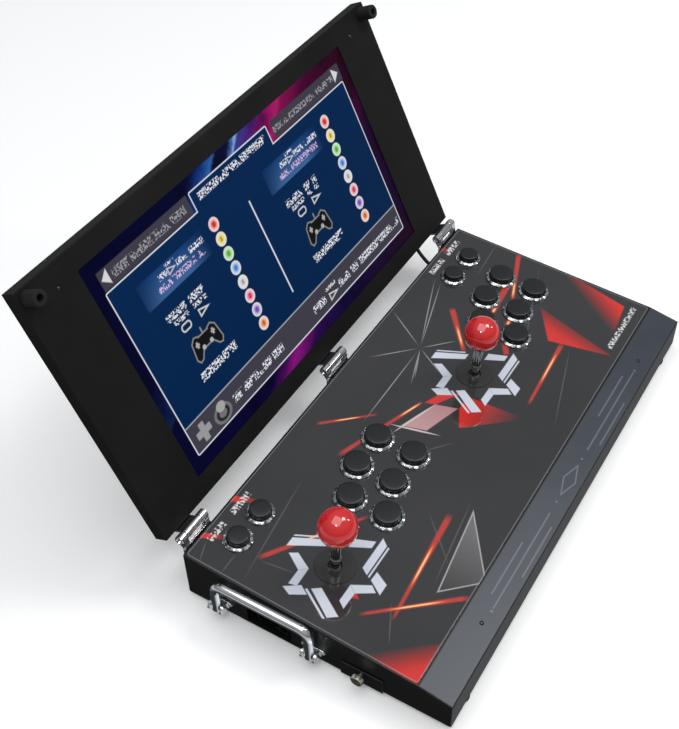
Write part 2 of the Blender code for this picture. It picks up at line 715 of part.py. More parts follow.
# ---------------------------------------------------------------- assembly
def main():
    clear_scene()
    materials = {
        "black_paint": make_material("black_paint", (0.022, 0.022, 0.024), 0.45),
        "overlay": make_material("overlay", (0.045, 0.045, 0.050), 0.18),
        "chrome": make_material("chrome", (0.80, 0.80, 0.80), 0.12, 1.0),
        "dark_chrome": make_material("dark_chrome", (0.20, 0.20, 0.22), 0.15, 1.0),
        "ring_chrome": make_material("ring_chrome", (0.62, 0.63, 0.62), 0.20, 1.0),
        "cap_black": make_material("cap_black", (0.012, 0.012, 0.014), 0.35),
        "ball_red": make_material("ball_red", (0.60, 0.012, 0.010), 0.12),
        "housing_plastic": make_material("housing_plastic", (0.05, 0.05, 0.05), 0.55),
        "steel": make_material("steel", (0.55, 0.54, 0.50), 0.30, 1.0),
        "board_green": make_material("board_green", (0.02, 0.12, 0.05), 0.50),
        "screen": make_material("screen", (0.004, 0.020, 0.070), 0.10),
        "rubber": make_material("rubber", (0.020, 0.020, 0.020), 0.75),
    }
    base = make_frame("base_frame", (-CENTRE_X, -CENTRE_Y, FOOT_HEIGHT))
    panel = make_frame("panel_frame", (0, BREAK_Y, BREAK_HEIGHT), PANEL_SLOPE, base)
    lid = make_frame("lid_frame_origin", (0, LID_EDGE_Y, LID_EDGE_Z), math.pi / 2 - LID_LEAN, base)

    make_base(base, panel, materials)
    for name, x, v, kind in button_places():
        make_button(name, x, v, kind, panel, materials)
    for player in (1, 2):
        make_stick(player, STICK_X + (player - 1) * PLAYER_SHIFT, panel, materials)
    make_handle(base, materials)
    make_side_fittings(base, materials)
    make_main_board(base, materials)
    for name, x in zip(("left_hinge", "middle_hinge", "right_hinge"), HINGE_X):
        make_hinge(name, x, base, lid, materials)
    make_lid(lid, materials)
    make_cable(base, materials)


main()
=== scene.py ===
"""The look of a folding bartop arcade console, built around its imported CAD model."""

import math
from functools import reduce

import bmesh
import bpy
from mathutils import Matrix, Vector


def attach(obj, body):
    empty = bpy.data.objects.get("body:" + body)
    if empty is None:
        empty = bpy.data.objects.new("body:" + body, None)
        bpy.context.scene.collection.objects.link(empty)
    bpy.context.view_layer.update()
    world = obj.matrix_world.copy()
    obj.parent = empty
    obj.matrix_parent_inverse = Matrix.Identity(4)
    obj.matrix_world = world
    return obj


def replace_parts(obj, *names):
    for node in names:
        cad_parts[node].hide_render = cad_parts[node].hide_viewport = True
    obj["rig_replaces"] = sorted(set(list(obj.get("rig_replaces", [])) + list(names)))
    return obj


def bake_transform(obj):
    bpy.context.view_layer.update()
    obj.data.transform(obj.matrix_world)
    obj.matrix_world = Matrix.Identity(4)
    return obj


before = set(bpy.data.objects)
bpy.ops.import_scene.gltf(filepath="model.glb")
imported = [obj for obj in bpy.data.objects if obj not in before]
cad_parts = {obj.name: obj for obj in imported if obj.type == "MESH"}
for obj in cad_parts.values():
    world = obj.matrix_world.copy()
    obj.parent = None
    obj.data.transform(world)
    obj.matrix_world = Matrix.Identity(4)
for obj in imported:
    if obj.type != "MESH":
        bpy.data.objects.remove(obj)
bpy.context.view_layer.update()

# ---------------- sizes shared with the CAD model, in metres
MM = 0.001
GAP = 0.0003
SHEET = 0.0015
RIM = 0.0015
BASE_WIDTH = 0.527
BASE_DEPTH = 0.2655
REAR_HEIGHT = 0.0547
BREAK_Y = 0.0314
BREAK_HEIGHT = 0.0379
FRONT_HEIGHT = 0.0315
FOOT_HEIGHT = 0.0045
FOOT_X = 0.231
FOOT_INSET = 0.0055
OVERLAY = 0.0015
LID_EDGE_Y = 0.2807
LID_EDGE_Z = 0.06415
LID_LENGTH = 0.262
LID_THICKNESS = 0.0145
LID_SHEET = 0.0012
LID_LEAN = math.radians(24.94)
SCREEN_WIDTH = 0.404
SCREEN_BOTTOM = 0.0195
SCREEN_TOP = 0.242
HINGE_Y = 0.2716
HINGE_Z = 0.0639
HINGE_X = {"left_hinge": -0.2395, "middle_hinge": 0.0, "right_hinge": 0.2395}
KNUCKLE_RADIUS = 0.0047
KNUCKLE_SIDE = 0.0085
HINGE_WIDTH = 0.038
STICK_V = 0.1166
STICK_X = -0.2014
PLAYER_SHIFT = 0.2715
PIVOT_DEPTH = 0.012
BALL_RADIUS = 0.0178
BALL_HEIGHT = 0.058
HANDLE_FRONT_Y = 0.132
HANDLE_REAR_Y = 0.228
HANDLE_PIVOT_Z = 0.013
HANDLE_RISE = 0.033
HANDLE_STANDOFF = 0.007
HANDLE_RADIUS = 0.0047
HANDLE_BEND = 0.01
HINGE_LEAF = 0.0025
EAR_RADIUS = 0.0047
PORT_FRONT_Y = 0.1555
PORT_REAR_Y = 0.201
PORT_BOTTOM = 0.0025
PORT_TOP = 0.022
SCREW_Y = 0.0845
SCREW_Z = 0.014
CABLE_X = 0.203
CABLE_Z = 0.042
CABLE_IN_LID = -0.007
CABLE_RADIUS = 0.002
BUMPER_X = 0.254
BUMPER_V = 0.252
BUMPER_RADIUS = 0.007
BUMPER_LENGTH = 0.017
BUTTON_COLUMNS = ((-0.1313, 0.1041), (-0.096, 0.1178), (-0.0568, 0.1178))
BUTTON_ROW = 0.0389
SMALL_BUTTONS = {
    "p1_coin": (-0.2242, 0.203),
    "p1_start": (-0.1898, 0.2025),
    "p2_start": (0.1866, 0.2012),
    "p2_coin": (0.223, 0.2012),
}

HALF = BASE_WIDTH / 2
PANEL_SLOPE = math.atan2(REAR_HEIGHT - BREAK_HEIGHT, BASE_DEPTH - BREAK_Y)
PANEL_LENGTH = math.hypot(REAR_HEIGHT - BREAK_HEIGHT, BASE_DEPTH - BREAK_Y)
STRIP_SLOPE = math.atan2(BREAK_HEIGHT - FRONT_HEIGHT, BREAK_Y)
STRIP_LENGTH = math.hypot(BREAK_HEIGHT - FRONT_HEIGHT, BREAK_Y)
DECK_TOP = -OVERLAY - GAP
DECK_BOTTOM = DECK_TOP - SHEET
LID_REACH = LID_EDGE_Y + LID_LENGTH * math.sin(LID_LEAN) + LID_THICKNESS * math.cos(LID_LEAN)
CENTRE_Y = (LID_REACH - 0.0005) / 2
CENTRE_X = -(HANDLE_STANDOFF + EAR_RADIUS) / 2


def at(*place):
    return Matrix.Translation(place)


def spin(angle, axis):
    return Matrix.Rotation(angle, 4, axis)


QUARTER = math.pi / 2
BASE = at(-CENTRE_X, -CENTRE_Y, FOOT_HEIGHT)
PANEL = BASE @ at(0, BREAK_Y, BREAK_HEIGHT) @ spin(PANEL_SLOPE, "X")
STRIP = BASE @ at(0, 0, FRONT_HEIGHT) @ spin(STRIP_SLOPE, "X")
LID = BASE @ at(0, LID_EDGE_Y, LID_EDGE_Z) @ spin(QUARTER - LID_LEAN, "X")


# ---------------- camera
def link(obj):
    bpy.context.scene.collection.objects.link(obj)
    return obj


def make_camera():
    right = Vector((0.51301, -0.85822, -0.01648))
    up = Vector((0.61315, 0.35295, 0.70673))
    back = Vector((-0.60072, -0.37267, 0.70729))
    data = bpy.data.cameras.new("camera")
    data.lens = 57.72
    data.shift_x = -0.0094
    data.shift_y = 0.0048
    data.clip_start = 0.05
    camera = link(bpy.data.objects.new("camera", data))
    place = BASE @ Vector((-0.7023, -0.17935, 0.88826))
    camera.matrix_world = at(*place) @ Matrix((right, up, back)).transposed().to_4x4()
    bpy.context.scene.camera = camera


make_camera()


# ---------------- shader building
def feed(tree, value, slot):
    if isinstance(value, Num):
        tree.links.new(value.socket, slot)
    elif isinstance(value, bpy.types.NodeSocket):
        tree.links.new(value, slot)
    elif isinstance(value, tuple) and slot.type == "RGBA" and len(value) == 3:
        slot.default_value = (*value, 1)
    else:
        slot.default_value = value


def math_node(operation):
    def add(self, *others, clamp=False):
        node = self.tree.nodes.new("ShaderNodeMath")
        node.operation = operation
        node.use_clamp = clamp
        for slot, value in zip(node.inputs, (self, *others)):
            feed(self.tree, value, slot)
        return Num(self.tree, node.outputs[0])

    return add


class Num:
    """A number inside a material. Its operators add math nodes."""

    def __init__(self, tree, socket):
        self.tree = tree
        self.socket = socket

    __add__ = math_node("ADD")
    __sub__ = math_node("SUBTRACT")
    __mul__ = math_node("MULTIPLY")
    __abs__ = math_node("ABSOLUTE")
    over = math_node("GREATER_THAN")
    low = math_node("MINIMUM")
    high = math_node("MAXIMUM")
    fraction = math_node("FRACT")
    scaled = math_node("MULTIPLY_ADD")

    def fade(self, start, end):
        """0 at start, 1 at end and straight between them."""
        step = 1 / (end - start)
        return self.scaled(step, -start * step, clamp=True)


def union(distances):
    return reduce(Num.low, distances)


def highest(values):
    return reduce(Num.high, values)


class Nodes:
    """A node tree and short ways to add to it."""

    def __init__(self, tree):
        self.tree = tree

    def node(self, kind, **values):
        node = self.tree.nodes.new("ShaderNode" + kind)
        for name, value in values.items():
            if name in node.inputs:
                feed(self.tree, value, node.inputs[name])
            else:
                setattr(node, name, value)
        return node

    def split(self, vector):
        return [Num(self.tree, part) for part in self.node("SeparateXYZ", Vector=vector).outputs]

    def layer(self, below, above, amount):
        mix = self.node("Mix", data_type="RGBA")
        for slot, value in ((0, amount), (6, below), (7, above)):
            feed(self.tree, value, mix.inputs[slot])
        return mix.outputs[2]

    def ramp(self, value, *stops, constant=False):
        node = self.node("ValToRGB")
        node.color_ramp.interpolation = "CONSTANT" if constant else "LINEAR"
        elements = node.color_ramp.elements
        while len(elements) < len(stops):
            elements.new(0.5)
        for element, (place, colour) in zip(elements, stops):
            element.position = place
            element.color = (*colour, 1)
        feed(self.tree, value, node.inputs[0])
        return node.outputs[0]


class Finish(Nodes):
    """One material and the nodes that feed its Principled shader."""

    def __init__(self, name, **values):
        self.material = bpy.data.materials.new(name)
        self.material.use_nodes = True
        super().__init__(self.material.node_tree)
        self.shader = self.tree.nodes["Principled BSDF"]
        self.coords = self.node("TexCoord").outputs["Object"]
        self.colour = None
        self.set(**values)

    def set(self, **values):
        for name, value in values.items():
            feed(self.tree, value, self.shader.inputs[name.replace("_", " ")])

    def noise(self, scale, detail=3, roughness=0.55, vector=None):
        node = self.node(
            "TexNoise", Scale=scale, Detail=detail, Roughness=roughness, Vector=vector or self.coords
        )
        return Num(self.tree, node.outputs[0])

    def paint(self, colour, amount):
        """Lay a colour over what is drawn so far."""
        self.colour = self.layer(self.colour, colour, amount)

    def millimetres(self):
        """The object's own x and y in millimetres."""
        return [part * 1000.0 for part in self.split(self.coords)[:2]]

    def point(self, x, y, z=1.0):
        """(x, y, 1), so that one dot product gives the distance from a line."""
        return self.node("CombineXYZ", X=x, Y=y, Z=z).outputs[0]

    def vector_math(self, operation, *vectors):
        node = self.node("VectorMath", operation=operation)
        for slot, vector in zip(node.inputs, vectors):
            feed(self.tree, vector, slot)
        return Num(self.tree, node.outputs["Value"])

    def along(self, point, start, end):
        """How far along a line a point is, 0 to 1."""
        length, ux, uy = direction(start, end)
        line = (ux / length, uy / length, -(ux * start[0] + uy * start[1]) / length)
        return self.vector_math("DOT_PRODUCT", point, line)

    def across(self, point, start, end, scale=1.0):
        """Distance to the left of a line."""
        _, ux, uy = direction(start, end)
        line = (-uy * scale, ux * scale, (uy * start[0] - ux * start[1]) * scale)
        return self.vector_math("DOT_PRODUCT", point, line)

    def polygon(self, point, corners):
        """Distance outside a convex outline; negative inside."""
        sides = list(zip(corners, corners[1:] + corners[:1]))
        if sum(a[0] * b[1] - a[1] * b[0] for a, b in sides) > 0:
            sides = [(b, a) for a, b in sides]
        return highest([self.across(point, a, b) for a, b in sides])

    def rect(self, x, y, x0, y0, x1, y1, radius=0.0):
        """Distance outside an upright rectangle."""
        dx = abs(x - (x0 + x1) / 2) - ((x1 - x0) / 2 - radius)
        dy = abs(y - (y0 + y1) / 2) - ((y1 - y0) / 2 - radius)
        if not radius:
            return dx.high(dy)
        outside = self.vector_math("LENGTH", self.point(dx.high(0.0), dy.high(0.0), 0.0))
        return outside + dx.high(dy).low(0.0) - radius

    def disc(self, x, y, middle_x, middle_y, radius):
        return self.vector_math("LENGTH", self.point(x - middle_x, y - middle_y, 0.0)) - radius

    def streak(self, point, start, end, width):
        """A needle-shaped glow: 1 on its middle, 0 at its outline."""
        middle = ((start[0] + end[0]) / 2, (start[1] + end[1]) / 2)
        along = self.along(point, middle, end)
        across = self.across(point, middle, end, 1 / width)
        return (along * along + abs(across)).fade(1.0, 0.0)

    def mask(self, distance, soft=0.5):
        """1 inside an outline and 0 outside."""
        return distance.fade(soft, -soft)

    def specks(self, x, y, width, height, gap=0.36):
        """Small uneven marks in rows: they stand in for print that can't be read."""
        cell = self.point(x * (1 / width), y * (1 / height), 0.0)
        broken = self.noise(1.0, 1, 0.4, cell)
        gaps = self.noise(0.22, 0, 0.5, cell)
        return broken.fade(0.46, 0.54) * gaps.fade(gap, gap + 0.04)

    def bump(self, height, strength, distance=0.0002):
        """The last step of a finish; gives its material."""
        node = self.node("Bump", Strength=strength, Distance=distance, Height=height)
        self.set(Normal=node.outputs[0])
        return self.material


def direction(start, end):
    """The length of a line and its unit vector."""
    dx, dy = end[0] - start[0], end[1] - start[1]
    length = math.hypot(dx, dy)
    return length, dx / length, dy / length


def grey(value):
    return (value, value, value)


def painted(name, colour, roughness, grain=1400.0, strength=0.12, specular=0.4):
    """Powder coat or moulded plastic: fine orange peel with uneven gloss."""
    finish = Finish(name, Specular_IOR_Level=specular)
    broad = finish.noise(14.0, 4)
    fine = finish.noise(grain, 2)
    light = tuple(c * 1.3 + 0.001 for c in colour)
    finish.set(Base_Color=finish.layer(colour, light, broad.fade(0.35, 0.7)))
    finish.set(Roughness=broad.fade(0.2, 0.8) * 0.1 + fine * 0.06 + (roughness - 0.08))
    return finish.bump(fine, strength)


def metal(name, colour, roughness, brushed=0.0):
    finish = Finish(name, Metallic=1.0)
    smear = finish.noise(60.0, 3)
    speck = finish.noise(900.0, 2)
    dull = tuple(c * 0.86 for c in colour)
    finish.set(Base_Color=finish.layer(colour, dull, smear.fade(0.4, 0.75)))
    finish.set(Roughness=smear * 0.05 + speck * brushed + (roughness - 0.02))
    return finish.bump(speck, 0.03 + brushed)


# ---------------- printed overlay with a painted highlight along its edge, in mm across and up the panel
RAYS_FROM = (72, 180)
RAYS_TO = (
    (30, 219), (105, 232), (177, 218), (174, 209), (-52, 179),
    (20, 163), (30, 164), (51, 145), (103, 152),
)
STREAKS = (
    ((-231, 178), (-139, 118), 3.4, 0.6, (0.42, 0.58)),
    ((-95, 178), (8, 143), 3.4, 0.4, (0.7, 1.0)),
    ((-73, 216), (-30, 172), 2.2, 0.4, (0.25, 0.75)),
    ((-232, 75), (-166, 2), 3.4, -0.5, (0.22, 0.82)),
    ((-222, 48), (-97, 57), 4.0, -0.9, (0.28, 0.72)),
    ((91, 139), (143, 180), 5.0, -0.6, (0.1, 0.62)),
    ((160, 140), (212, 146), 6.0, -0.8, (0.0, 0.18)),
    ((190, 131), (262, 157), 4.4, -0.4, (0.02, 0.42)),
    ((112, 101), (130, 111), 6.0, -0.5, (2.0, 3.0)),
    ((152, 119), (160, 120), 5.0, 0.3, (0.0, 1.0)),
    ((62, 53), (160, 59), 3.6, -0.6, (0.32, 0.86)),
)
RED_SHAPES = (
    (((-263, 2), (-218, 2), (-263, 55)), (-258, 10), (-239, 29)),
    (((-242, 235), (-235, 235), (-226, 214), (-230, 213)), (-238, 232), (-227, 208)),
    (((-195, 235), (-187, 235), (-178, 212), (-182, 212)), (-190, 232), (-178, 206)),
    (((-38, 159), (28, 133), (38, 116), (20, 108), (12, 131)), (20, 130), (-60, 168)),
    (((38, 117), (44, 47), (-10, 106), (20, 108)), (30, 114), (30, 52)),
    (((155, 73), (196, 100), (171, 9)), (160, 62), (194, 54)),
    (((264, 104), (248, 25), (199, 18.5)), (252, 36), (226, 54)),
    (((-221, 88), (-214, 88), (-219, 82)), (-218, 86), (-218, 78)),
    (((215, 236), (222, 236), (226, 226), (221, 225)), (217, 240), (225, 222)),
)
RING_BARS = (
    ((-206, 164), (-196, 164), (-180, 134), (-188, 134)),
    ((-238, 141.5), (-222, 141.5), (-216, 134.5), (-236, 134)),
    ((-222, 141.5), (-211.5, 158), (-207, 151), (-216, 134.5)),
    ((-243, 144), (-247, 135), (-239, 122), (-233.5, 131)),
    ((-232, 122), (-226.5, 115), (-243, 88), (-249, 96)),
    ((-229, 95.5), (-210.5, 95.5), (-216, 88), (-234, 88.5)),
    ((-210.5, 95.5), (-201, 79.5), (-206, 73), (-216, 88)),
    ((-197, 83), (-187, 82.5), (-194, 69), (-206, 69)),
    ((-190, 95.5), (-153.5, 95.5), (-159, 88.5), (-194.5, 88.5)),
    ((-178, 117), (-168, 117), (-160, 99), (-168, 99)),
)
RING_LINES = (
    ((-194, 164), (-192.3, 164), (-178.6, 138), (-180.3, 138)),
    ((-235, 126.5), (-233.7, 124.7), (-250.5, 97), (-251.7, 98.8)),
    ((-195, 87.0), (-159.5, 87.0), (-160.3, 85.4), (-196, 85.4)),
)
FAINT_LINES = (
    ((-262, 175), (-130, 192)), ((45, 18), (160, 50)), ((-262, 218), (-240, 226)),
    ((-262, 196), (-236, 196)), ((115, 85), (262, 130)), ((200, 180), (262, 185)),
    ((-245, 38), (-205, 58)), ((-176, 34), (-70, 48)), ((-150, 30), (-105, 76)),
    ((-48, 114), (-20, 92)), ((-232, 176), (-226, 140)),
)
TEXT_PLACES = (
    (-227, 224, 22, 6.4), (-190, 224, 27, 6.4), (192, 224, 27, 6.4), (229, 224, 27, 6.4),
)
LOW_TEXT = (216, 15, 71, 5.6)


def overlay_finish():
    finish = Finish("overlay_print_and_edge_highlight", Coat_Weight=0.8, Coat_Roughness=0.03, Specular_IOR_Level=0.2)
    layer, mask, paint = finish.layer, finish.mask, finish.paint
    polygon, streak = finish.polygon, finish.streak
    x, v = finish.millimetres()
    here = finish.point(x, v)
    shared = finish.point(x - x.over(-60.0) * (PLAYER_SHIFT / MM), v)
    cloud = finish.noise(6.0, 3)
    finish.colour = finish.ramp(cloud, (0.3, (0.026, 0.026, 0.027)), (0.7, (0.036, 0.036, 0.038)))

    rays = highest([streak(here, RAYS_FROM, end, 0.8) for end in RAYS_TO])
    faint = highest([streak(here, start, end, 0.8) for start, end in FAINT_LINES])
    paint(grey(0.34), (rays * 1.5).low(0.75))
    paint(grey(0.16), (faint * 1.2).low(0.38))

    for corners, start, end in RED_SHAPES:
        along = finish.along(here, start, end)
        shade = layer((0.62, 0.032, 0.026), (0.34, 0.02, 0.018), along.fade(0.0, 1.0))
        paint(shade, mask(polygon(here, corners), 0.7) * along.fade(1.0, 0.25))

    shard = polygon(here, [(-30, 146), (12, 131), (19.5, 109.5), (-22, 122)])
    across = finish.along(here, (-30, 0), (20, 0)).fade(0.0, 1.0)
    paint(layer((0.5, 0.3, 0.31), (0.4, 0.2, 0.21), across), mask(shard))
    rims = [streak(here, (-44, 149), (14, 130), 1.4), streak(here, (-35, 158), (-20, 106), 1.4)]
    paint((0.6, 0.5, 0.5), (highest(rims) * 3.0).low(0.9))
    wedge = polygon(here, [(-176, 28.5), (-84, 40.5), (-140, 1.5), (-149, 1.5)])
    across = finish.along(here, (-176, 0), (-100, 0)).fade(0.0, 1.0)
    paint(layer(grey(0.04), (0.15, 0.145, 0.15), across), mask(wedge))
    paint((0.44, 0.41, 0.42), mask(abs(wedge) - 0.5))

    glows, cores = [], []
    for start, end, width, taper, (core_from, core_to) in STREAKS:
        along = finish.along(here, start, end)
        across = abs(finish.across(here, start, end))
        broad = across + (along - 0.5) * (2 * taper)
        ends = abs(along - 0.5).fade(0.5, 0.42)
        glows.append(broad.fade(width / 2 + 0.9, width / 2 - 0.9) * ends)
        if core_from < 1.0:
            half = (core_to - core_from) / 2
            middle = abs(along - (core_from + half)).fade(half, half * 0.35)
            cores.append(across.fade(width / 4 + 0.6, 0.2) * middle)
    paint((0.52, 0.045, 0.038), highest(glows) * 0.9)
    core = highest(cores)
    hot = finish.ramp(core, (0.0, (0.62, 0.06, 0.02)), (0.5, (0.85, 0.28, 0.06)), (1.0, (0.9, 0.58, 0.34)))
    paint(hot, (core * 1.8).low(1.0))

    paint((0.6, 0.64, 0.72), mask(union([polygon(shared, bar) for bar in RING_BARS + RING_LINES]), 0.4))

    specks = finish.specks(x, v, 2.2, 3.2, 0.0)
    for places, tint in ((TEXT_PLACES, (0.66, 0.63, 0.63)), ((LOW_TEXT,), grey(0.62))):
        words = [
            finish.rect(x, v, middle - length / 2, row - height / 2, middle + length / 2, row + height / 2)
            for middle, row, length, height in places
        ]
        paint(tint, mask(union(words)) * specks)

    # painted highlight: a thin pale line just inside the overlay's outline stands in for its cut acrylic edge
    # catching light
    edge = finish.rect(x, v, -HALF / MM + 3.0, 2.6, HALF / MM - 3.0, PANEL_LENGTH / MM - 2.8, 2.0)
    paint((0.24, 0.245, 0.25), mask(abs(edge) - 0.3, 0.4) * 0.75)
    smudge = finish.noise(30.0, 4)
    finish.set(Base_Color=finish.colour, Roughness=smudge * 0.08 + 0.14)
    return finish.material


# ---------------- lit screen, in mm across and up the lid
DOT_COLOURS = (
    (0.8, 0.2, 0.03), (0.2, 0.1, 0.6), (0.8, 0.06, 0.22), (0.55, 0.58, 0.62),
    (0.05, 0.3, 0.8), (0.08, 0.62, 0.04), (0.75, 0.6, 0.03), (0.8, 0.03, 0.03),
)
COLUMN_SHIFT = 190.5
INK = (0.74, 0.76, 0.82)
# x and the colour of the picture behind the menu, along its upper and its lower margin
SKY_ABOVE = (
    (-202, (0.0008, 0.001, 0.022)), (-72, (0.001, 0.0016, 0.024)), (-62, (0.002, 0.008, 0.06)),
    (-46, (0.006, 0.034, 0.2)), (-30, (0.024, 0.11, 0.34)), (-26, (0.002, 0.003, 0.024)),
    (-4, (0.002, 0.004, 0.03)), (2, (0.06, 0.13, 0.38)), (6, (0.24, 0.42, 0.74)),
    (10, (0.034, 0.044, 0.24)), (30, (0.06, 0.014, 0.18)), (48, (0.17, 0.006, 0.13)),
    (66, (0.3, 0.006, 0.12)), (78, (0.36, 0.012, 0.12)), (86, (0.2, 0.004, 0.07)),
    (104, (0.14, 0.003, 0.055)), (124, (0.055, 0.001, 0.026)), (202, (0.018, 0.001, 0.01)),
)
SKY_BELOW = (
    (-202, (0.0008, 0.001, 0.022)), (-70, (0.002, 0.001, 0.028)), (-48, (0.05, 0.002, 0.075)),
    (-30, (0.22, 0.006, 0.18)), (-12, (0.13, 0.005, 0.14)), (6, (0.02, 0.002, 0.065)),
    (60, (0.006, 0.002, 0.036)), (202, (0.012, 0.001, 0.012)),
)
WORDS_LEFT = (
    (-134, 184.5, -122, 190), (-111, 184.5, -94, 190), (-90, 184.5, -70, 190), (-122, 191, -110, 194),
    (-148, 149, -121, 156), (-116, 149, -95, 156), (-143, 142.5, -122, 147), (-115, 142.5, -96, 147),
    (-145, 82.5, -92, 91),
)
WORDS_WIDE = (
    (-52, 216, 54, 223.5), (-125, 42.5, -42, 50.5), (15, 42.5, 37, 50.5), (41, 51, 60, 54.5),
    (63, 42.5, 185, 50.5),
)
GAMEPAD_GRIP = (
    (7.5, 107.5), (7.5, 120), (12, 121.5), (16.5, 118), (19, 103), (16.5, 99.5), (13, 100.5),
)


def screen_finish():
    finish = Finish("screen_glass", Base_Color=grey(0.0008), Roughness=0.3, Specular_IOR_Level=0.03)
    layer, mask, paint, polygon = finish.layer, finish.mask, finish.paint, finish.polygon
    rect, disc = finish.rect, finish.disc
    x, u = finish.millimetres()
    column = x - x.over(0.5) * COLUMN_SHIFT
    here = finish.point(x, u)
    inner = finish.point(column, u)

    cloud = finish.noise(26.0, 5, 0.6)
    wide = 1 / SCREEN_WIDTH * MM
    skies = []
    for level, lean, drift, colours in ((228.0, 1.1, 26.0, SKY_ABOVE), (28.0, 1.4, 30.0, SKY_BELOW)):
        slanted = (x - (u - level) * lean + cloud * drift - drift / 2) * wide + 0.5
        skies.append(finish.ramp(slanted, *[(place * wide + 0.5, tint) for place, tint in colours]))
    sky = layer(skies[1], skies[0], u.fade(60.0, 200.0))
    finish.colour = layer(grey(0.0), sky, cloud.fade(0.2, 0.52))

    panel = rect(x, u, -189, 34, 189, 209.5, 1.6).low(rect(x, u, -61, 150, 61, 228.5, 1.6))
    paint(finish.ramp(u * 0.004, (0.1, (0.0, 0.015, 0.062)), (0.9, (0.0012, 0.019, 0.078))), mask(panel))
    sides = rect(abs(x - 1.5), u, 66.5, 211, 189.5, 229.0, 1.0)
    footer = rect(x, u, -188.5, 35, 188.5, 62, 3.0)
    paint((0.046, 0.044, 0.062), mask(sides.low(footer)))

    hint = rect(column, u, -160, 170, -66, 196, 1.0)
    side_fade = abs(column + 116.0).fade(50.0, 20.0)
    glare = layer((0.004, 0.04, 0.165), (0.055, 0.15, 0.36), u.fade(198.0, 168.0))
    paint(glare, mask(hint) * side_fade * 0.85)

    outline = mask(abs(panel) - 0.55, 0.4)
    outline = outline.high(mask(rect(x, u, -188, 62.2, 188, 63.4)) * 0.5)
    paint(INK, outline.high(mask(rect(x, u, 0.0, 80, 1.6, 183))))

    specks = finish.specks(x, u, 1.8, 2.4)
    marks = [rect(column, u, *word) for word in WORDS_LEFT] + [rect(x, u, *word) for word in WORDS_WIDE]
    paint(INK, mask(union(marks)) * specks)
    dim = rect(x, u, -173, 215.5, -72, 223.5).low(rect(x, u, 69, 216.5, 176, 222.5))
    paint((0.55, 0.55, 0.58), mask(dim) * specks * 0.5)
    paint((0.62, 0.45, 0.72), mask(rect(column, u, -140, 175, -74, 181)) * specks)

    signs = [
        abs(rect(column, u, -138, 132.5, -126, 139.0, 3.0)) - 0.7,
        abs(polygon(inner, [(-112, 132.5), (-100, 135.7), (-112, 139)])) - 0.7,
        abs(polygon(inner, [(-121, 183.5), (-112, 186.5), (-121, 189.5)])) - 0.5,
        abs(polygon(here, [(44, 40), (57, 43.5), (44, 47)])) - 0.7,
        polygon(here, [(-186, 220.5), (-177, 213.5), (-177, 227.5)]),
        polygon(here, [(187, 220.5), (178, 213.5), (178, 227.5)]),
    ]
    paint(grey(0.66), mask(union(signs)))

    wing = abs(column + 120.0)
    grip = polygon(finish.point(wing, u), GAMEPAD_GRIP)
    pad = grip.low(rect(wing, u, -9, 107.5, 9, 119, 0.5))
    lead = rect(column, u, -120.8, 118, -119.2, 126, 0.3)
    thumbs = disc(wing, u, 5.6, 108.0, 2.3).low(disc(wing, u, 11.5, 114.0, 1.4))
    keys = rect(wing, u, 9.0, 112.9, 14.0, 115.1).low(rect(wing, u, 10.4, 111, 12.6, 117))
    cross = rect(x, u, -181, 44, -161, 51, 1.0).low(rect(x, u, -174.5, 38, -167.5, 57, 1.0))
    base = disc(x * 0.75, u, -107, 45.5, 9.4)
    cap = disc(x * 0.8, u, -113.6, 52.5, 5.0)
    for shade, distance in (
        (0.26, (pad - 1.3).low(lead)), (0.006, pad), (0.42, thumbs.low(keys)), (0.3, cross),
        (0.16, base), (0.02, abs(base + 4.0) - 1.4), (0.36, cap),
    ):
        paint(grey(shade), mask(distance))

    first, pitch = 80.0, 15.71
    row = (u - (first - pitch / 2)) * (1 / pitch)
    local = (row.fraction() - 0.5) * pitch
    within = row.over(0.0) * (row * -1.0).over(-8.0)
    dot = disc(column, local, -50.5, 0.0, 6.7)
    tints = [(n / 8 + 0.001, tint) for n, tint in enumerate(DOT_COLOURS)]
    tint = finish.ramp(row * 0.125, *tints, constant=True)
    shade = layer(tint, (0.8, 0.78, 0.76), dot.fade(-4.6, -1.2) * 0.82)
    paint(shade, mask(dot) * within)
    stroke = rect(column, local, -51.7, -2.2, -49.3, 2.2)
    paint((0.2, 0.04, 0.03), mask(stroke) * within * 0.55)

    finish.set(Emission_Color=finish.colour, Emission_Strength=1.0)
    return finish.material


# ---------------- film on the front strip, in mm across and up the strip
STRIP_LINES = (
    (-152, -89, 20.5), (88, 152, 20.5), (-164, -45, 13.0), (43, 164, 13.0), (-121, -58, 5.3), (56, 120, 5.3),
)


def strip_finish():
    finish = Finish("strip_print", Specular_IOR_Level=0.5)
    x, v = finish.millimetres()
    fine = finish.noise(1400.0, 2)
    broad = finish.noise(14.0, 3)
    finish.colour = finish.layer((0.02, 0.027, 0.041), (0.028, 0.036, 0.052), broad.fade(0.35, 0.65))
    lines = [finish.rect(x, v, x0, y - 0.6, x1, y + 0.6) for x0, x1, y in STRIP_LINES]
    for middle, radius in ((-167.0, 1.3), (167.0, 1.3), (-30.0, 1.1), (30.0, 1.1)):
        lines.append(finish.disc(x, v, middle, 13.0, radius))
    lozenge = abs(x) * 0.3 + abs(v - 13.0) - 6.0
    lines.append(abs(lozenge) - 0.6)
    finish.paint((0.12, 0.135, 0.155), finish.mask(union(lines)))
    finish.set(Base_Color=finish.colour, Roughness=broad * 0.08 + 0.33)
    return finish.bump(fine, 0.06)


def ball_finish():
    finish = Finish("ball_red", Roughness=0.12, Specular_IOR_Level=0.45, Coat_Weight=1.0, Coat_Roughness=0.03)
    cloud = finish.noise(70.0, 3)
    finish.set(Base_Color=finish.layer((0.56, 0.012, 0.014), (0.64, 0.016, 0.018), cloud))
    return finish.material


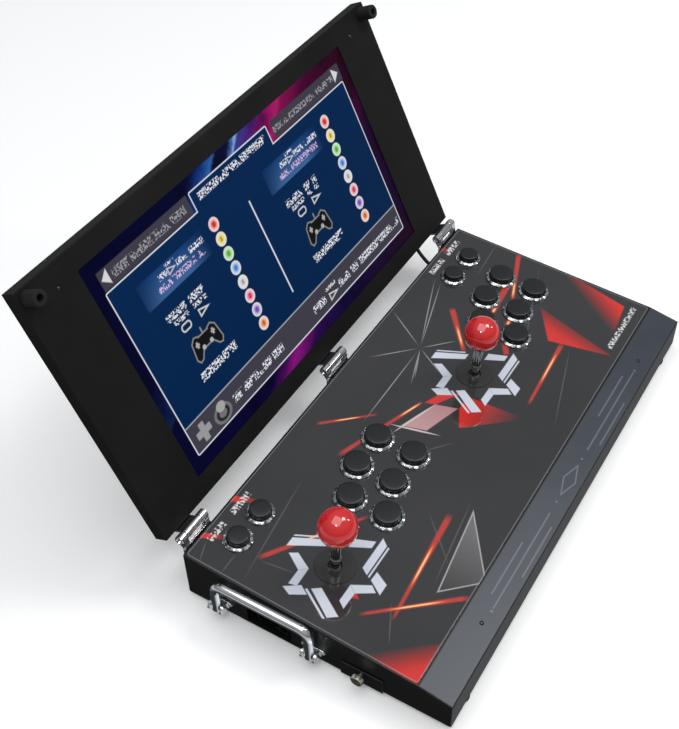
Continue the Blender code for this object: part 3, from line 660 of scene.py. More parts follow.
def ring_finish():
    finish = Finish("button_ring", Metallic=0.9)
    cloud = finish.noise(300.0, 3)
    finish.set(Base_Color=finish.layer((0.74, 0.78, 0.77), (0.17, 0.19, 0.19), cloud.fade(0.42, 0.58)))
    finish.set(Roughness=cloud * 0.12 + 0.06)
    return finish.bump(cloud, 0.3, 0.0006)


FINISH = {
    "black": painted("black_powder_coat", (0.0056, 0.0056, 0.006), 0.38, specular=0.34),
    "lid": painted("lid_powder_coat", (0.0094, 0.0092, 0.0092), 0.48, 1100.0, 0.16, 0.06),
    "strip": strip_finish(),
    "overlay": overlay_finish(),
    "screen": screen_finish(),
    "socket": painted("socket_plastic", grey(0.004), 0.45, specular=0.2),
    "chrome": metal("chrome", (0.82, 0.84, 0.86), 0.06),
    "satin": metal("satin_chrome", grey(0.62), 0.16, 0.05),
    "dark_chrome": metal("dark_chrome", grey(0.3), 0.07),
    "steel": metal("nickel_steel", (0.6, 0.57, 0.5), 0.24, 0.08),
    "black_screw": metal("black_screw", grey(0.07), 0.32, 0.05),
    "cap": painted("cap_plastic", (0.012, 0.0125, 0.0135), 0.34, 2200.0, 0.03, 0.35),
    "plastic": painted("moulded_plastic", grey(0.012), 0.5),
    "rubber": painted("rubber", grey(0.009), 0.7, 2600.0, 0.22, 0.25),
    "board": painted("circuit_board", (0.004, 0.03, 0.012), 0.5, specular=0.2),
    "washer": painted("dust_washer", grey(0.025), 0.16, 900.0, 0.01, 0.5),
    "ball": ball_finish(),
    "ring": ring_finish(),
}


# ---------------- mesh building
AXES = {
    "X": lambda a, b, along: (along, a, b),
    "Y": lambda a, b, along: (a, along, b),
    "Z": lambda a, b, along: (a, b, along),
}


def box(low, high, bm=None):
    bm = bm or bmesh.new()
    low, high = Vector(low), Vector(high)
    made = bmesh.ops.create_cube(bm, size=1.0)["verts"]
    bmesh.ops.scale(bm, vec=high - low, verts=made)
    bmesh.ops.translate(bm, vec=(low + high) / 2, verts=made)
    return bm


def rod(axis, radius, middle, low, high, sides=24, bm=None):
    """A rod along an axis; middle is its place on the two other axes."""
    bm = bm or bmesh.new()
    start, end = Vector(AXES[axis](*middle, low)), Vector(AXES[axis](*middle, high))
    turn = (end - start).to_track_quat("Z", "Y").to_matrix().to_4x4()
    bmesh.ops.create_cone(
        bm, cap_ends=True, segments=sides, radius1=radius, radius2=radius, depth=(end - start).length,
        matrix=at(*(start + end) / 2) @ turn,
    )
    return bm


def turned(profile, sides, closed=False):
    """A profile of (radius, height) points turned about Z; a closed one makes a ring."""
    bm = bmesh.new()
    verts = [bm.verts.new((radius, 0, height)) for radius, height in profile]
    edges = [bm.edges.new(pair) for pair in zip(verts, verts[1:])]
    if closed:
        edges.append(bm.edges.new((verts[-1], verts[0])))
    bmesh.ops.spin(
        bm, geom=verts + edges, cent=(0, 0, 0), axis=(0, 0, 1), angle=math.tau, steps=sides, use_merge=True
    )
    bmesh.ops.remove_doubles(bm, verts=bm.verts, dist=1e-6)
    return bm


def prism(outline, low, high, axis="X"):
    """An outline pushed along an axis: (y, z) points for X, (x, z) for Y and (x, y) for Z."""
    bm = bmesh.new()
    base = bm.faces.new([bm.verts.new(AXES[axis](a, b, low)) for a, b in outline])
    pushed = bmesh.ops.extrude_face_region(bm, geom=[base])["geom"]
    ends = [item for item in pushed if isinstance(item, bmesh.types.BMVert)]
    bmesh.ops.translate(bm, vec=Vector(AXES[axis](0, 0, high - low)), verts=ends)
    return bm


def arc(centre, radius, start, end, steps):
    angles = [math.radians(start + (end - start) * step / steps) for step in range(steps + 1)]
    return [(centre[0] + radius * math.cos(a), centre[1] + radius * math.sin(a)) for a in angles]


def rounded(x0, y0, x1, y1, radius, steps=5):
    """The outline of a rectangle with round corners."""
    corners = ((x1 - radius, y0 + radius), (x1 - radius, y1 - radius), (x0 + radius, y1 - radius),
               (x0 + radius, y0 + radius))
    outline = []
    for corner, start in zip(corners, (-90, 0, 90, 180)):
        outline += arc(corner, radius, start, start + 90, steps)
    return outline


def skin(rings):
    """A closed surface through rings with the same number of points."""
    bm = bmesh.new()
    rings = [[bm.verts.new(point) for point in ring] for ring in rings]
    for ring, following in zip(rings, rings[1:]):
        for step in range(len(ring)):
            other = (step + 1) % len(ring)
            bm.faces.new((ring[step], ring[other], following[other], following[step]))
    bm.faces.new(rings[0])
    bm.faces.new(rings[-1])
    return bm


def tube(path, radius, sides):
    """A round tube with flat ends."""
    path = [Vector(point) for point in path]
    side = (path[1] - path[0]).orthogonal().normalized()
    angles = [math.tau * step / sides for step in range(sides)]
    rings = []
    for index, point in enumerate(path):
        along = (path[min(index + 1, len(path) - 1)] - path[max(index - 1, 0)]).normalized()
        side = (side - along * side.dot(along)).normalized()
        up = along.cross(side)
        rings.append([point + radius * (math.cos(a) * side + math.sin(a) * up) for a in angles])
    return skin(rings)


def moved(bm, matrix):
    bmesh.ops.transform(bm, matrix=matrix, verts=bm.verts)
    return bm


def new_object(name, bm, matrix):
    bmesh.ops.recalc_face_normals(bm, faces=bm.faces)
    mesh = bpy.data.meshes.new(name)
    bm.to_mesh(mesh)
    bm.free()
    obj = link(bpy.data.objects.new(name, mesh))
    obj.matrix_world = matrix
    return obj


MADE = {}


def piece(
    name, bm, matrix, finish, replaces=(), body="console", like=None, bevel=0.0, cuts=(),
    joins=(), smooth=35, segments=2,
):
    """One shown object: bevelled, cut, shaded and set on its CAD body. Pieces that are like each
    other share the first one's mesh."""
    if like in MADE:
        obj = link(MADE[like].copy())
        obj.name = name
        obj.parent = None
        obj.matrix_world = matrix
        if "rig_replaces" in obj:
            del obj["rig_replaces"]
    else:
        obj = new_object(name, bm, matrix)
        shape(obj, bevel, segments, (("UNION", joins), ("DIFFERENCE", cuts)))
        obj.data.materials.clear()
        obj.data.materials.append(FINISH[finish])
        obj.data.shade_smooth()
        obj.data.set_sharp_from_angle(angle=math.radians(smooth))
        obj.modifiers.new("Normals", "WEIGHTED_NORMAL").keep_sharp = True
        if like:
            MADE[like] = obj
    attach(obj, body)
    if replaces:
        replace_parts(obj, *replaces)


def shape(obj, bevel, segments, booleans):
    """Bevels and cuts a mesh, with the modifiers applied."""
    if bevel:
        modifier = obj.modifiers.new("Bevel", "BEVEL")
        modifier.width = bevel
        modifier.segments = segments
        modifier.limit_method = "ANGLE"
        modifier.angle_limit = math.radians(32)
    helpers = []
    for operation, others in booleans:
        for other in others:
            helper = new_object("cutter", other, obj.matrix_world)
            helper.hide_render = True
            helper.hide_viewport = True
            helpers.append(helper)
            modifier = obj.modifiers.new("Boolean", "BOOLEAN")
            modifier.operation = operation
            modifier.solver = "EXACT"
            modifier.object = helper
    if obj.modifiers:
        bpy.context.view_layer.update()
        graph = bpy.context.evaluated_depsgraph_get()
        mesh = bpy.data.meshes.new_from_object(obj.evaluated_get(graph))
        obj.modifiers.clear()
        obj.data = mesh
        for helper in helpers:
            bpy.data.objects.remove(helper)


# ---------------- control box
BUTTON_SIZES = {
    "large": (0.017, 0.0145, 0.0132, 0.0129),
    "small": (0.0142, 0.0116, 0.0105, 0.0102),
}


def button_places():
    places = []
    for player in (0, 1):
        number = 0
        for x, v in BUTTON_COLUMNS:
            for row in (0, 1):
                number += 1
                name = f"p{player + 1}_button_{number}"
                places.append((name, x + player * PLAYER_SHIFT, v + row * BUTTON_ROW, "large"))
    return places + [(name, x, v, "small") for name, (x, v) in SMALL_BUTTONS.items()]


def panel_holes(clearance=0.0):
    """The holes of the deck and the overlay, as one cutter in the panel's frame."""
    holes = [(BUTTON_SIZES[kind][1] + 0.0004, x, v) for _, x, v, kind in button_places()]
    holes += [(0.011, STICK_X + player * PLAYER_SHIFT, STICK_V) for player in (0, 1)]
    bm = bmesh.new()
    for radius, x, v in holes:
        rod("Z", radius + clearance, (x, v), -0.008, 0.006, 40, bm)
    return bm


def make_shell():
    to_panel = BASE.inverted() @ PANEL
    outline = [
        (0, 0), (BASE_DEPTH, 0), (BASE_DEPTH, REAR_HEIGHT), (BREAK_Y, BREAK_HEIGHT), (0, FRONT_HEIGHT),
    ]
    deck_slope = math.tan(PANEL_SLOPE)
    strip_slope = math.tan(STRIP_SLOPE)
    deck_under = BREAK_HEIGHT + DECK_BOTTOM / math.cos(PANEL_SLOPE) - deck_slope * BREAK_Y
    strip_under = FRONT_HEIGHT - SHEET / math.cos(STRIP_SLOPE)
    rear = BASE_DEPTH - SHEET
    meet = (strip_under - deck_under) / (deck_slope - strip_slope)
    hollow = [
        (SHEET, -0.005), (rear, -0.005), (rear, deck_under + deck_slope * rear),
        (meet, strip_under + strip_slope * meet), (SHEET, strip_under + strip_slope * SHEET),
    ]
    pocket = rounded(-HALF + RIM, RIM, HALF - RIM, PANEL_LENGTH - RIM, 0.002)
    holes = rod("Y", 0.004, (CABLE_X, CABLE_Z), BASE_DEPTH - 0.006, BASE_DEPTH + 0.004)
    rod("X", 0.0024, (SCREW_Y, SCREW_Z), -HALF - 0.004, -HALF + 0.004, 16, holes)
    piece(
        "shell", prism(outline, -HALF, HALF), BASE, "black", ["base_shell"], bevel=0.0011, segments=3,
        cuts=[
            prism(hollow, -HALF + SHEET, HALF - SHEET),
            moved(prism(pocket, DECK_TOP, 0.004, "Z"), to_panel),
            moved(panel_holes(), to_panel),
            box((-HALF - 0.002, PORT_FRONT_Y, PORT_BOTTOM), (-HALF + 0.004, PORT_REAR_Y, PORT_TOP)),
            holes,
        ],
    )
    film = rounded(-HALF + 0.0012, 0.0011, HALF - 0.0012, STRIP_LENGTH - 0.0002, 0.0008, 3)
    piece("front_strip_film", prism(film, 0.00002, 0.00014, "Z"), STRIP, "strip")
    sheet = rounded(-HALF + RIM + GAP, RIM + GAP, HALF - RIM - GAP, PANEL_LENGTH - RIM - GAP, 0.002)
    piece(
        "overlay_sheet", prism(sheet, -OVERLAY, 0, "Z"), PANEL, "overlay", ["control_overlay"],
        bevel=0.0003, cuts=[panel_holes(0.0002)],
    )


def slots(middles, width, v0, v1, low, high):
    """A row of vent slots, as one cutter."""
    bm = bmesh.new()
    for x in middles:
        box((x - width / 2, v0, low), (x + width / 2, v1, high), bm)
    return bm


def make_bottom():
    low = (-HALF + SHEET + GAP, SHEET + GAP, 0)
    high = (HALF - SHEET - GAP, BASE_DEPTH - SHEET - GAP, SHEET)
    vents = slots([(index - 6.5) * 0.01 for index in range(14)], 0.0036, 0.15, 0.2, -0.002, 0.004)
    piece("base_plate", box(low, high), BASE, "black", ["bottom_plate"], bevel=0.0003, cuts=[vents])
    profile = [
        (0, -FOOT_HEIGHT), (0.0046, -FOOT_HEIGHT), (0.0056, -FOOT_HEIGHT + 0.0005), (0.006, -0.0018),
        (0.006, -0.0003), (0, -0.0003),
    ]
    feet = [(x, y) for x in (-FOOT_X, FOOT_X) for y in (FOOT_INSET, BASE_DEPTH - FOOT_INSET)]
    for number, foot in enumerate(feet):
        place = BASE @ at(*foot, 0)
        piece(f"rubber_foot_{number}", turned(profile[::-1], 32), place, "rubber", like="foot")


# ---------------- buttons and sticks
def scalloped_ring(kind):
    flange, thread, bore, _ = BUTTON_SIZES[kind]
    profile = [
        (bore, -0.015), (thread, -0.015), (thread, GAP), (flange - 0.0003, GAP), (flange, 0.0007),
        (flange - 0.0002, 0.0014), (flange - 0.001, 0.0021), (flange - 0.0022, 0.0026),
        (bore + 0.0011, 0.003), (bore + 0.0005, 0.003), (bore, 0.0024),
    ]
    bm = turned(profile, 72, closed=True)
    scallops = 12
    for vert in bm.verts:
        radius = math.hypot(vert.co.x, vert.co.y)
        if vert.co.z < GAP / 2 or radius < bore + 0.0002:
            continue
        wave = abs(math.sin(math.atan2(vert.co.y, vert.co.x) * scallops / 2))
        share = (radius - bore) / (flange - bore)
        scale = 1 - 0.035 * (1 - wave) * share
        vert.co.x *= scale
        vert.co.y *= scale
        vert.co.z += 0.0005 * (wave - 0.5) * share if vert.co.z > 0.0008 else 0
    return bm


def button_cap(kind):
    cap = BUTTON_SIZES[kind][3]
    profile = [
        (0, 0.0088), (cap * 0.5, 0.00875), (cap * 0.84, 0.0086), (cap - 0.0006, 0.0083),
        (cap - 0.0001, 0.0078), (cap, 0.007), (cap, -0.008), (0, -0.008),
    ]
    return turned(profile, 48)


def make_buttons():
    for name, x, v, kind in button_places():
        place = PANEL @ at(x, v, 0)
        piece(
            f"{name}_bezel", scalloped_ring(kind), place, "ring", [f"{name}_ring"], like=f"{kind}_ring",
            smooth=24,
        )
        piece(
            f"{name}_plunger", button_cap(kind), place, "cap", [f"{name}_cap"], f"{name}_cap",
            like=f"{kind}_cap", smooth=40,
        )


def knurled_rod(radius, low, high, sides=36, rows=22):
    """A rod with a fine diamond-cut grip."""
    rings = []
    for row in range(rows + 1):
        ring = []
        for step in range(sides):
            angle = math.tau * step / sides
            size = radius - (0.0003 * ((row + step) % 2) if 0 < row < rows else 0.0004)
            ring.append((size * math.cos(angle), size * math.sin(angle), low + (high - low) * row / rows))
        rings.append(ring)
    return skin(rings)


def make_sticks():
    seat = BALL_HEIGHT + PIVOT_DEPTH - BALL_RADIUS
    sleeve = PIVOT_DEPTH + 0.0125
    sleeve_profile = [
        (0, seat + 0.008), (0.0046, seat + 0.008), (0.0046, sleeve + 0.0034), (0.0048, sleeve + 0.0032),
        (0.0054, sleeve + 0.0024), (0.0056, sleeve + 0.0016), (0.0055, sleeve + 0.0004),
        (0.005, sleeve), (0, sleeve),
    ]
    actuator = [
        (0, 0.0028), (0.005, 0.0026), (0.0052, 0), (0.005, -0.0026), (0.0032, -0.0045), (0.0032, -0.014),
        (0.0068, -0.0142), (0.007, -0.0146), (0.007, -0.0196), (0.0066, -0.02), (0, -0.02),
    ]
    dome = arc((0, 0), 0.0124, 74, 52, 8) + arc((0, 0), 0.0133, 52, 74, 8)
    washer = [
        (0.0065, PIVOT_DEPTH + 0.0002), (0.0186, PIVOT_DEPTH + 0.0002), (0.0189, PIVOT_DEPTH + 0.0004),
        (0.0187, PIVOT_DEPTH + 0.0007), (0.0082, PIVOT_DEPTH + 0.0009), (0.0065, PIVOT_DEPTH + 0.0011),
    ]
    for player in (1, 2):
        pivot = PANEL @ at(STICK_X + (player - 1) * PLAYER_SHIFT, STICK_V, -PIVOT_DEPTH)
        stick = f"p{player}_stick"
        ball = bmesh.new()
        bmesh.ops.create_uvsphere(
            ball, u_segments=64, v_segments=40, radius=BALL_RADIUS, matrix=at(0, 0, PIVOT_DEPTH + BALL_HEIGHT)
        )
        piece(
            f"{stick}_knob", ball, pivot, "ball", [f"{stick}_ball"], stick, smooth=60,
            cuts=[rod("Z", 0.005, (0, 0), seat - 0.002, seat + 0.0085, 36)],
        )
        piece(
            f"{stick}_sleeve", turned(sleeve_profile, 40), pivot, "dark_chrome", [f"{stick}_shaft"], stick,
            smooth=50,
        )
        piece(
            f"{stick}_coupling", knurled_rod(0.0033, 0.003, sleeve - 0.0002), pivot, "chrome", (), stick,
            smooth=12,
        )
        piece(f"{stick}_actuator", turned(actuator, 32), pivot, "plastic", (), stick)
        piece(f"{stick}_dust_dome", turned(dome, 48, closed=True), pivot, "plastic", (), stick, smooth=50)
        piece(f"{stick}_dust_washer", turned(washer, 64, closed=True), pivot, "washer", smooth=50)
        for node, finish in ((f"{stick}_base", "plastic"), (f"p{player}_gimbal", "steel")):
            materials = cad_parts[node].data.materials
            materials.clear()
            materials.append(FINISH[finish])


# ---------------- lid
def make_lid():
    back = -LID_THICKNESS + LID_SHEET + GAP
    low = (-HALF + LID_SHEET, LID_SHEET, back - 0.002)
    tray = box(low, (HALF - LID_SHEET, LID_LENGTH - LID_SHEET, -LID_SHEET))
    side = SCREEN_WIDTH / 2
    window = prism(rounded(-side, SCREEN_BOTTOM, side, SCREEN_TOP, 0.0012, 4), -0.004, 0.002, "Z")
    outlet = rod("Y", 0.004, (CABLE_X, CABLE_IN_LID), -0.004, 0.006)
    piece(
        "lid_face", box((-HALF, 0, back), (HALF, LID_LENGTH, 0)), LID, "lid", ["lid_frame"], "lid",
        bevel=0.001, segments=3, cuts=[tray, window, outlet],
    )
    middles = [side_x + (index - 4) * 0.009 for side_x in (-0.15, 0.15) for index in range(9)]
    piece(
        "lid_rear_cover", box((-HALF, 0, -LID_THICKNESS), (HALF, LID_LENGTH, -LID_THICKNESS + LID_SHEET)),
        LID, "black", ["lid_back"], "lid", bevel=0.0005,
        cuts=[slots(middles, 0.003, 0.175, 0.215, -0.02, -0.01)],
    )
    margin = 0.008
    glass = rounded(-side - margin, SCREEN_BOTTOM - margin, side + margin, SCREEN_TOP + margin, 0.001)
    front = -LID_SHEET - GAP
    piece(
        "display", prism(glass, front - 0.0012, front, "Z"), LID, "screen", ["display_panel"], "lid",
        bevel=0.0003,
    )
    piece(
        "display_housing", prism(glass, front - 0.0095, front - 0.0014, "Z"), LID, "plastic", (), "lid",
        bevel=0.0003,
    )
    radius, length = BUMPER_RADIUS, BUMPER_LENGTH
    profile = [
        (0, GAP), (radius, GAP), (radius, length - 0.0012), (radius - 0.0004, length - 0.0003),
        (radius - 0.0012, length), (0.0036, length), (0.0032, length - 0.0004), (0.0032, length - 0.007),
        (0, length - 0.007),
    ]
    for name, x in (("left", -BUMPER_X), ("right", BUMPER_X)):
        place = LID @ at(x, BUMPER_V, 0)
        piece(
            f"{name}_lid_bumper", turned(profile[::-1], 40), place, "rubber", [f"bumper_{name}"], "lid",
            like="bumper",
        )


# ---------------- hinges
def barrel(low, high, chamfer, place):
    """A hinge knuckle along X."""
    inside = KNUCKLE_RADIUS - chamfer
    profile = [
        (0, high), (inside, high), (KNUCKLE_RADIUS, high - chamfer), (KNUCKLE_RADIUS, low + chamfer),
        (inside, low), (0, low),
    ]
    return moved(turned(profile, 40), at(0, *place) @ spin(QUARTER, "Y"))


def make_hinges():
    behind, above = HINGE_Y - LID_EDGE_Y, HINGE_Z - LID_EDGE_Z
    along = behind * math.sin(LID_LEAN) + above * math.cos(LID_LEAN)
    outward = -behind * math.cos(LID_LEAN) + above * math.sin(LID_LEAN)
    axis = (HINGE_Y, HINGE_Z)
    half = HINGE_WIDTH / 2
    inner = half - KNUCKLE_SIDE
    reach = inner - GAP
    plate_y = BASE_DEPTH + GAP
    leaf = rounded(-half, 0.026, half, 0.057, 0.003)
    web = [
        (plate_y, 0.052),
        (plate_y + HINGE_LEAF, 0.052),
        (HINGE_Y + KNUCKLE_RADIUS * 0.55, HINGE_Z - KNUCKLE_RADIUS * 0.75),
        axis,
        (HINGE_Y - KNUCKLE_RADIUS * 0.8, HINGE_Z + KNUCKLE_RADIUS * 0.45),
        (plate_y, HINGE_Z - 0.0025),
    ]
    for name, x in HINGE_X.items():
        joins, bores = [], []
        for low, high in ((-half, -inner), (inner, half)):
            end = math.copysign(half, low + high)
            joins += [prism(web, low + 0.0015, high - 0.0015), barrel(low, high, 0.0005, axis)]
            bores.append(rod("X", 0.0031, axis, end - 0.0012, end + 0.0012))
        joins.append(rod("X", 0.0019, axis, -half + 0.001, half - 0.001))
        piece(
            f"{name}_wall_plate", prism(leaf, plate_y, plate_y + HINGE_LEAF, "Y"), BASE @ at(x, 0, 0),
            "chrome", [f"{name}_base_leaf"], like="wall_plate", bevel=0.0003, joins=joins, cuts=bores,
        )
        piece(
            f"{name}_lid_plate", box((-reach, -GAP - 0.002, -0.012), (reach, -GAP, outward)),
            LID @ at(x, 0, 0), "satin", [f"{name}_lid_leaf"], "lid", like="lid_plate", bevel=0.0003,
            joins=[barrel(-reach, reach, 0.0004, (along, outward))],
            cuts=[rod("X", 0.0022, (along, outward), -half, half)],
        )


# ---------------- handle, screws and side fittings
def make_handle():
    span = HANDLE_REAR_Y - HANDLE_FRONT_Y
    corner = HANDLE_RISE - HANDLE_BEND
    front = arc((HANDLE_BEND, corner), HANDLE_BEND, 180, 90, 12)
    rear = arc((span - HANDLE_BEND, corner), HANDLE_BEND, 90, 0, 12)
    path = [(0, y, z) for y, z in [(0, -0.002)] + front + rear + [(span, -0.002)]]
    place = BASE @ at(-HALF - HANDLE_STANDOFF, HANDLE_FRONT_Y, HANDLE_PIVOT_Z)
    piece(
        "handle_grip", tube(path, HANDLE_RADIUS, 28), place, "chrome", ["handle_bail"], "handle",
        joins=[rod("Y", 0.0015, (0, 0), y - 0.0071, y + 0.0071, 16) for y in (0, span)], smooth=50,
    )
    for number, y in enumerate((HANDLE_FRONT_Y, HANDLE_REAR_Y)):
        make_bracket(f"handle_bracket_{number}", y)


def make_bracket(name, y):
    """A chrome bracket: a wall flange with two lobes, two cheeks and two screws."""
    place = BASE @ at(-HALF, y, HANDLE_PIVOT_Z)
    near, far = 0.0052, 0.0074
    thick = 0.0016
    outline = [(-0.0074, -0.0058), (0.0074, -0.0058)]
    outline += arc((0.0094, 0.002), 0.003, -60, 90, 6) + arc((-0.0094, 0.002), 0.003, 90, 240, 6)
    nose = arc((0.0072, 0), 0.0048, -90, 90, 10)
    cheek = [(0, -0.0048)] + [(-a, b) for a, b in nose] + [(0, 0.0048)]
    piece(
        name, prism(outline, -thick, -0.0001), place, "chrome", bevel=0.0004,
        joins=[prism(cheek, low, high, "Y") for low, high in ((-far, -near), (near, far))],
        cuts=[rod("Y", 0.0019, (-HANDLE_STANDOFF, 0), -0.009, 0.009, 16)],
    )
    for number, offset in enumerate((-0.0098, 0.0098)):
        screw(f"{name}_screw_{number}", place @ at(-thick, offset, 0.002), "-X", "console", radius=0.0018)


def make_screws():
    """The screws that hold the sheets and the hinges."""
    sides = (-1, 1)
    groups = [
        ("strip", STRIP, [(s * 0.182, 0.015, 0.00014) for s in sides], "+Z", "console", 0.002),
        ("lid_face", LID, [(s * 0.225, 0.241, 0) for s in sides], "+Z", "lid", 0.002),
        ("lid_top", LID, [(s * 0.217, LID_LENGTH, -0.0095) for s in sides], "+Y", "lid", 0.0016),
        (
            "lid_rear", LID,
            [(s * x, v, -LID_THICKNESS) for v in (0.014, 0.248) for x in (0.085, 0.245) for s in sides],
            "-Z", "lid", 0.002,
        ),
        (
            "bottom", BASE, [(s * x, y, 0) for y in (0.02, 0.246) for x in (0.085, 0.215) for s in sides],
            "-Z", "console", 0.0024,
        ),
    ]
    for group, matrix, places, facing, body, radius in groups:
        for number, point in enumerate(places):
            screw(f"{group}_screw_{number}", matrix @ at(*point), facing, body, "black_screw", radius)
    wall = BASE_DEPTH + GAP + HINGE_LEAF
    for hinge, x in HINGE_X.items():
        for number, side in enumerate(sides):
            screw(f"{hinge}_wall_screw_{number}", BASE @ at(x + side * 0.0115, wall, 0.034), "+Y", "console")
            place = LID @ at(x + side * 0.006, -GAP - 0.002, -0.0068)
            screw(f"{hinge}_lid_screw_{number}", place, "-Y", "lid", radius=0.0015)


def screw(name, place, facing, body, finish="steel", radius=0.0021):
    """A domed screw head with a cross recess."""
    turn = {
        "-X": spin(-QUARTER, "Y"), "+Y": spin(-QUARTER, "X"), "-Y": spin(QUARTER, "X"),
        "+Z": Matrix.Identity(4), "-Z": spin(math.pi, "X"),
    }[facing]
    profile = [
        (0, radius * 0.62), (radius * 0.45, radius * 0.58), (radius * 0.82, radius * 0.38),
        (radius, radius * 0.1), (radius, 0.00005), (0, 0.00005),
    ]
    bar, arm = radius * 0.55, radius * 0.13
    recess = [
        box((-bar, -arm, radius * 0.3), (bar, arm, radius)),
        box((-arm, -bar, radius * 0.28), (arm, bar, radius)),
    ]
    piece(
        name, turned(profile, 24), place @ turn, finish, body=body, like=(finish, radius), cuts=recess
    )


def make_sockets():
    """The board behind the port opening, with its power, picture and USB sockets."""
    wall = -HALF + SHEET
    board = box((wall + 0.003, 0.126, 0.005), (wall + 0.098, 0.214, 0.0066))
    chips = bmesh.new()
    for x, y, wide, long, tall in (
        (0.045, 0.15, 0.018, 0.018, 0.002), (0.074, 0.148, 0.012, 0.01, 0.0016),
        (0.05, 0.186, 0.01, 0.014, 0.0016), (0.078, 0.188, 0.008, 0.012, 0.006),
        (0.09, 0.172, 0.008, 0.008, 0.009),
    ):
        box((wall + x, y, 0.006), (wall + x + wide, y + long, 0.0066 + tall), chips)
    piece("circuit_board", board, BASE, "board", ["main_board"], bevel=0.0002)
    piece("board_chips", chips, BASE, "socket", bevel=0.0003)
    front = wall + 0.001
    centre = (0.164, 0.0122)
    piece(
        "power_socket", box((front, 0.159, 0.0067), (front + 0.014, 0.169, 0.018)), BASE, "socket",
        bevel=0.0004, cuts=[rod("X", 0.0036, centre, front - 0.001, front + 0.009, 32)],
    )
    pin = rod("X", 0.001, centre, front + 0.002, front + 0.0095, 16)
    piece("power_socket_pin", pin, BASE, "steel", bevel=0.0002)
    outside = [(0.173, 0.013), (0.173, 0.0088), (0.1752, 0.0067), (0.1858, 0.0067), (0.188, 0.0088),
               (0.188, 0.013)]
    inside = [(0.1736, 0.0124), (0.1736, 0.0091), (0.1755, 0.0073), (0.1855, 0.0073), (0.1874, 0.0091),
              (0.1874, 0.0124)]
    piece(
        "picture_socket", prism(outside, front, front + 0.012), BASE, "black_screw",
        cuts=[prism(inside, front - 0.001, front + 0.009)],
    )
    tongue = box((front + 0.001, 0.1755, 0.0098), (front + 0.0095, 0.1855, 0.0109))
    piece("picture_socket_tongue", tongue, BASE, "socket", bevel=0.0002)
    piece(
        "usb_socket", box((front, 0.19, 0.0067), (front + 0.016, 0.1975, 0.0205)), BASE, "black_screw",
        bevel=0.0003,
        cuts=[box((front - 0.001, 0.1906, 0.0073), (front + 0.012, 0.1969, 0.0199))],
    )
    tongue = box((front + 0.001, 0.1912, 0.008), (front + 0.0125, 0.1931, 0.0192))
    piece("usb_socket_tongue", tongue, BASE, "socket", bevel=0.0002)


def make_side():
    wall = -HALF
    cover = box((wall - GAP - SHEET, 0.0635, 0.0008), (wall - GAP, 0.1045, 0.0186))
    hole = rod("X", 0.0024, (SCREW_Y, SCREW_Z), wall - 0.004, wall + 0.001)
    piece("side_cover", cover, BASE, "black", ["access_cover"], bevel=0.0004, cuts=[hole])
    profile = [
        (0, -0.0035), (0.0019, -0.0035), (0.0019, 0.0052), (0.0046, 0.0052), (0.0053, 0.0057),
        (0.0058, 0.0062), (0.0058, 0.0096), (0.0053, 0.0101), (0.0046, 0.0104), (0, 0.0102),
    ]
    knob = turned(profile[::-1], 96)
    for vert in knob.verts:
        radius = math.hypot(vert.co.x, vert.co.y)
        if radius > 0.0056:
            notch = 0.0004 * (math.cos(math.atan2(vert.co.y, vert.co.x) * 32) < 0)
            vert.co.x *= (radius - notch) / radius
            vert.co.y *= (radius - notch) / radius
    place = BASE @ at(wall, SCREW_Y, SCREW_Z) @ spin(-QUARTER, "Y")
    piece(
        "side_thumbscrew", knob, place, "steel", ["thumbscrew"], "thumbscrew", smooth=20,
        cuts=[box((-0.0007, -0.007, 0.0092), (0.0007, 0.007, 0.012))],
    )


# ---------------- screen cable
def lid_to_base(along, outward):
    y = LID_EDGE_Y + along * math.sin(LID_LEAN) - outward * math.cos(LID_LEAN)
    z = LID_EDGE_Z + along * math.cos(LID_LEAN) + outward * math.sin(LID_LEAN)
    return y, z


def smooth_path(points, steps):
    points = [Vector(point) for point in points]
    padded = [2 * points[0] - points[1]] + points + [2 * points[-1] - points[-2]]
    smooth = []
    for index in range(len(points) - 1):
        a, b, c, d = padded[index : index + 4]
        for step in range(steps):
            t = step / steps
            square, cube = 2 * a - 5 * b + 4 * c - d, 3 * b - a - 3 * c + d
            smooth.append(0.5 * (2 * b + (c - a) * t + square * t**2 + cube * t**3))
    smooth.append(points[-1])
    return smooth


def make_grommets():
    profile = [
        (0.0022, -0.0022), (0.0037, -0.0022), (0.0037, 0.00005), (0.0055, 0.00005), (0.0055, 0.0009),
        (0.0049, 0.0014), (0.0027, 0.0014), (0.0022, 0.001),
    ]
    wall = BASE @ at(CABLE_X, BASE_DEPTH, CABLE_Z) @ spin(-QUARTER, "X")
    edge = LID @ at(CABLE_X, 0, CABLE_IN_LID) @ spin(QUARTER, "X")
    for name, place, body in (("wall_grommet", wall, "console"), ("lid_grommet", edge, "lid")):
        bm = turned(profile, 32, closed=True)
        piece(name, bm, place, "rubber", body=body, like="grommet", smooth=45)


def make_cable():
    inside = lid_to_base(0.006, CABLE_IN_LID)
    leaves = lid_to_base(-0.003, CABLE_IN_LID)
    route = [
        (CABLE_X, *inside),
        (CABLE_X, *leaves),
        (CABLE_X, leaves[0] - 0.007, leaves[1] - 0.008),
        (CABLE_X, BASE_DEPTH + 0.0055, CABLE_Z + 0.0022),
        (CABLE_X, BASE_DEPTH - 0.003, CABLE_Z),
        (CABLE_X, BASE_DEPTH - 0.013, CABLE_Z - 0.003),
    ]
    path = [BASE @ point for point in smooth_path(route, 6)]
    length = sum((b - a).length for a, b in zip(path, path[1:]))
    lead = new_object("screen_lead", tube(path, CABLE_RADIUS, 20), Matrix.Identity(4))
    lead.data.materials.append(FINISH["rubber"])
    lead.data.shade_smooth()
    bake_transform(lead)
    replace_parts(lead, "screen_cable")
    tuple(path[0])
    [list(point) for point in path]


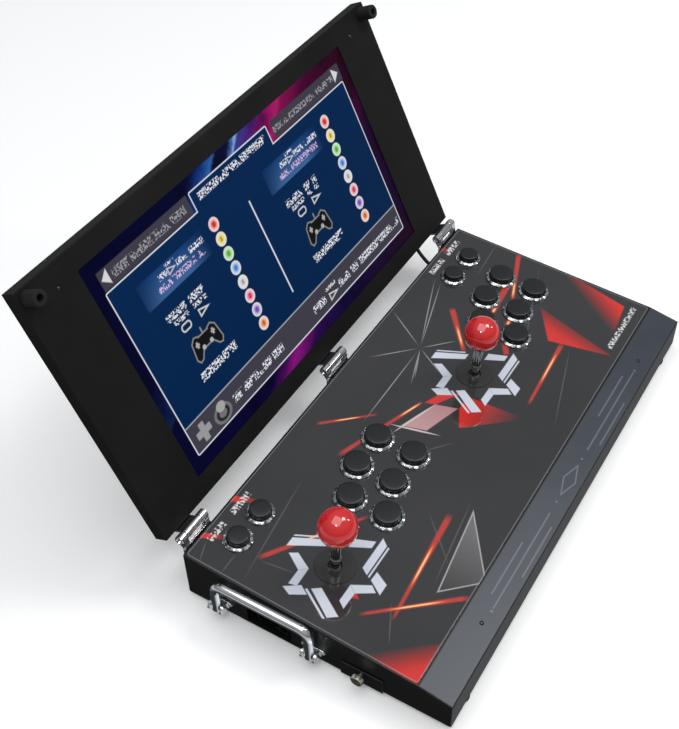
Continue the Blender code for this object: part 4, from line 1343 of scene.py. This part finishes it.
# ---------------- stage and light
# name, place, size, watts and the point that it faces
LIGHTS = (
    ("overhead", (-0.4, -0.05, 3.0), 2.6, 46.0, (-0.2, -0.05, 0)),
    ("front_box", (1.1, -1.00, 2.5), 0.8, 21.0, (0, 0, 0.05)),
    ("glint_left", (-0.79, -0.2, 1.25), 0.15, 1.7, (0, 0, 0.1)),
    ("glint_right", (0.91, -0.97, 1.0), 0.15, 1.9, (0, 0, 0.1)),
)
# how high a direction points, -1 to 1, and how bright the room is there
STUDIO = (
    (-1.0, 0.03), (-0.7, 0.05), (-0.55, 0.2), (-0.44, 0.1), (-0.36, 0.5), (-0.06, 0.62),
    (-0.02, 0.12), (0.0, 0.16), (0.5, 0.32), (0.8, 0.42), (1.0, 0.42),
)
APRON = (1.15, 1.2, 1.26)


def make_stage():
    bm = bmesh.new()
    bmesh.ops.create_grid(bm, x_segments=1, y_segments=1, size=2.6)
    floor = new_object("floor", bm, Matrix.Identity(4))
    finish = Finish(
        "floor", Roughness=0.9, Base_Color=grey(0.88), Specular_IOR_Level=0.1,
        Emission_Color=grey(1.0), Emission_Strength=0.16,
    )
    floor.data.materials.append(finish.material)
    floor.visible_glossy = False

    world = bpy.data.worlds.new("world")
    bpy.context.scene.world = world
    world.use_nodes = True
    room = Nodes(world.node_tree)
    _, y, z = room.split(room.node("TexCoord").outputs["Generated"])
    stops = [(place * 0.5 + 0.5, (level * 0.96, level * 0.99, level * 1.02)) for place, level in STUDIO]
    apron = (y * -1.0).fade(0.1, 0.75) * z.fade(-0.25, -0.55)
    light = room.layer(room.ramp(z * 0.5 + 0.5, *stops), APRON, apron)
    seen = room.node("LightPath").outputs["Is Camera Ray"]
    feed(room.tree, room.layer(light, grey(1.0), seen), room.tree.nodes["Background"].inputs[0])

    for name, place, size, power, target in LIGHTS:
        data = bpy.data.lights.new(name, "AREA")
        data.size = size
        data.energy = power
        lamp = link(bpy.data.objects.new(name, data))
        lamp.location = place
        lamp.rotation_euler = (Vector(target) - Vector(place)).to_track_quat("-Z", "Y").to_euler()
    bpy.context.scene.view_settings.view_transform = "Standard"


make_shell()
make_bottom()
make_buttons()
make_sticks()
make_lid()
make_hinges()
make_handle()
make_sockets()
make_side()
make_screws()
make_grommets()
make_cable()
make_stage()
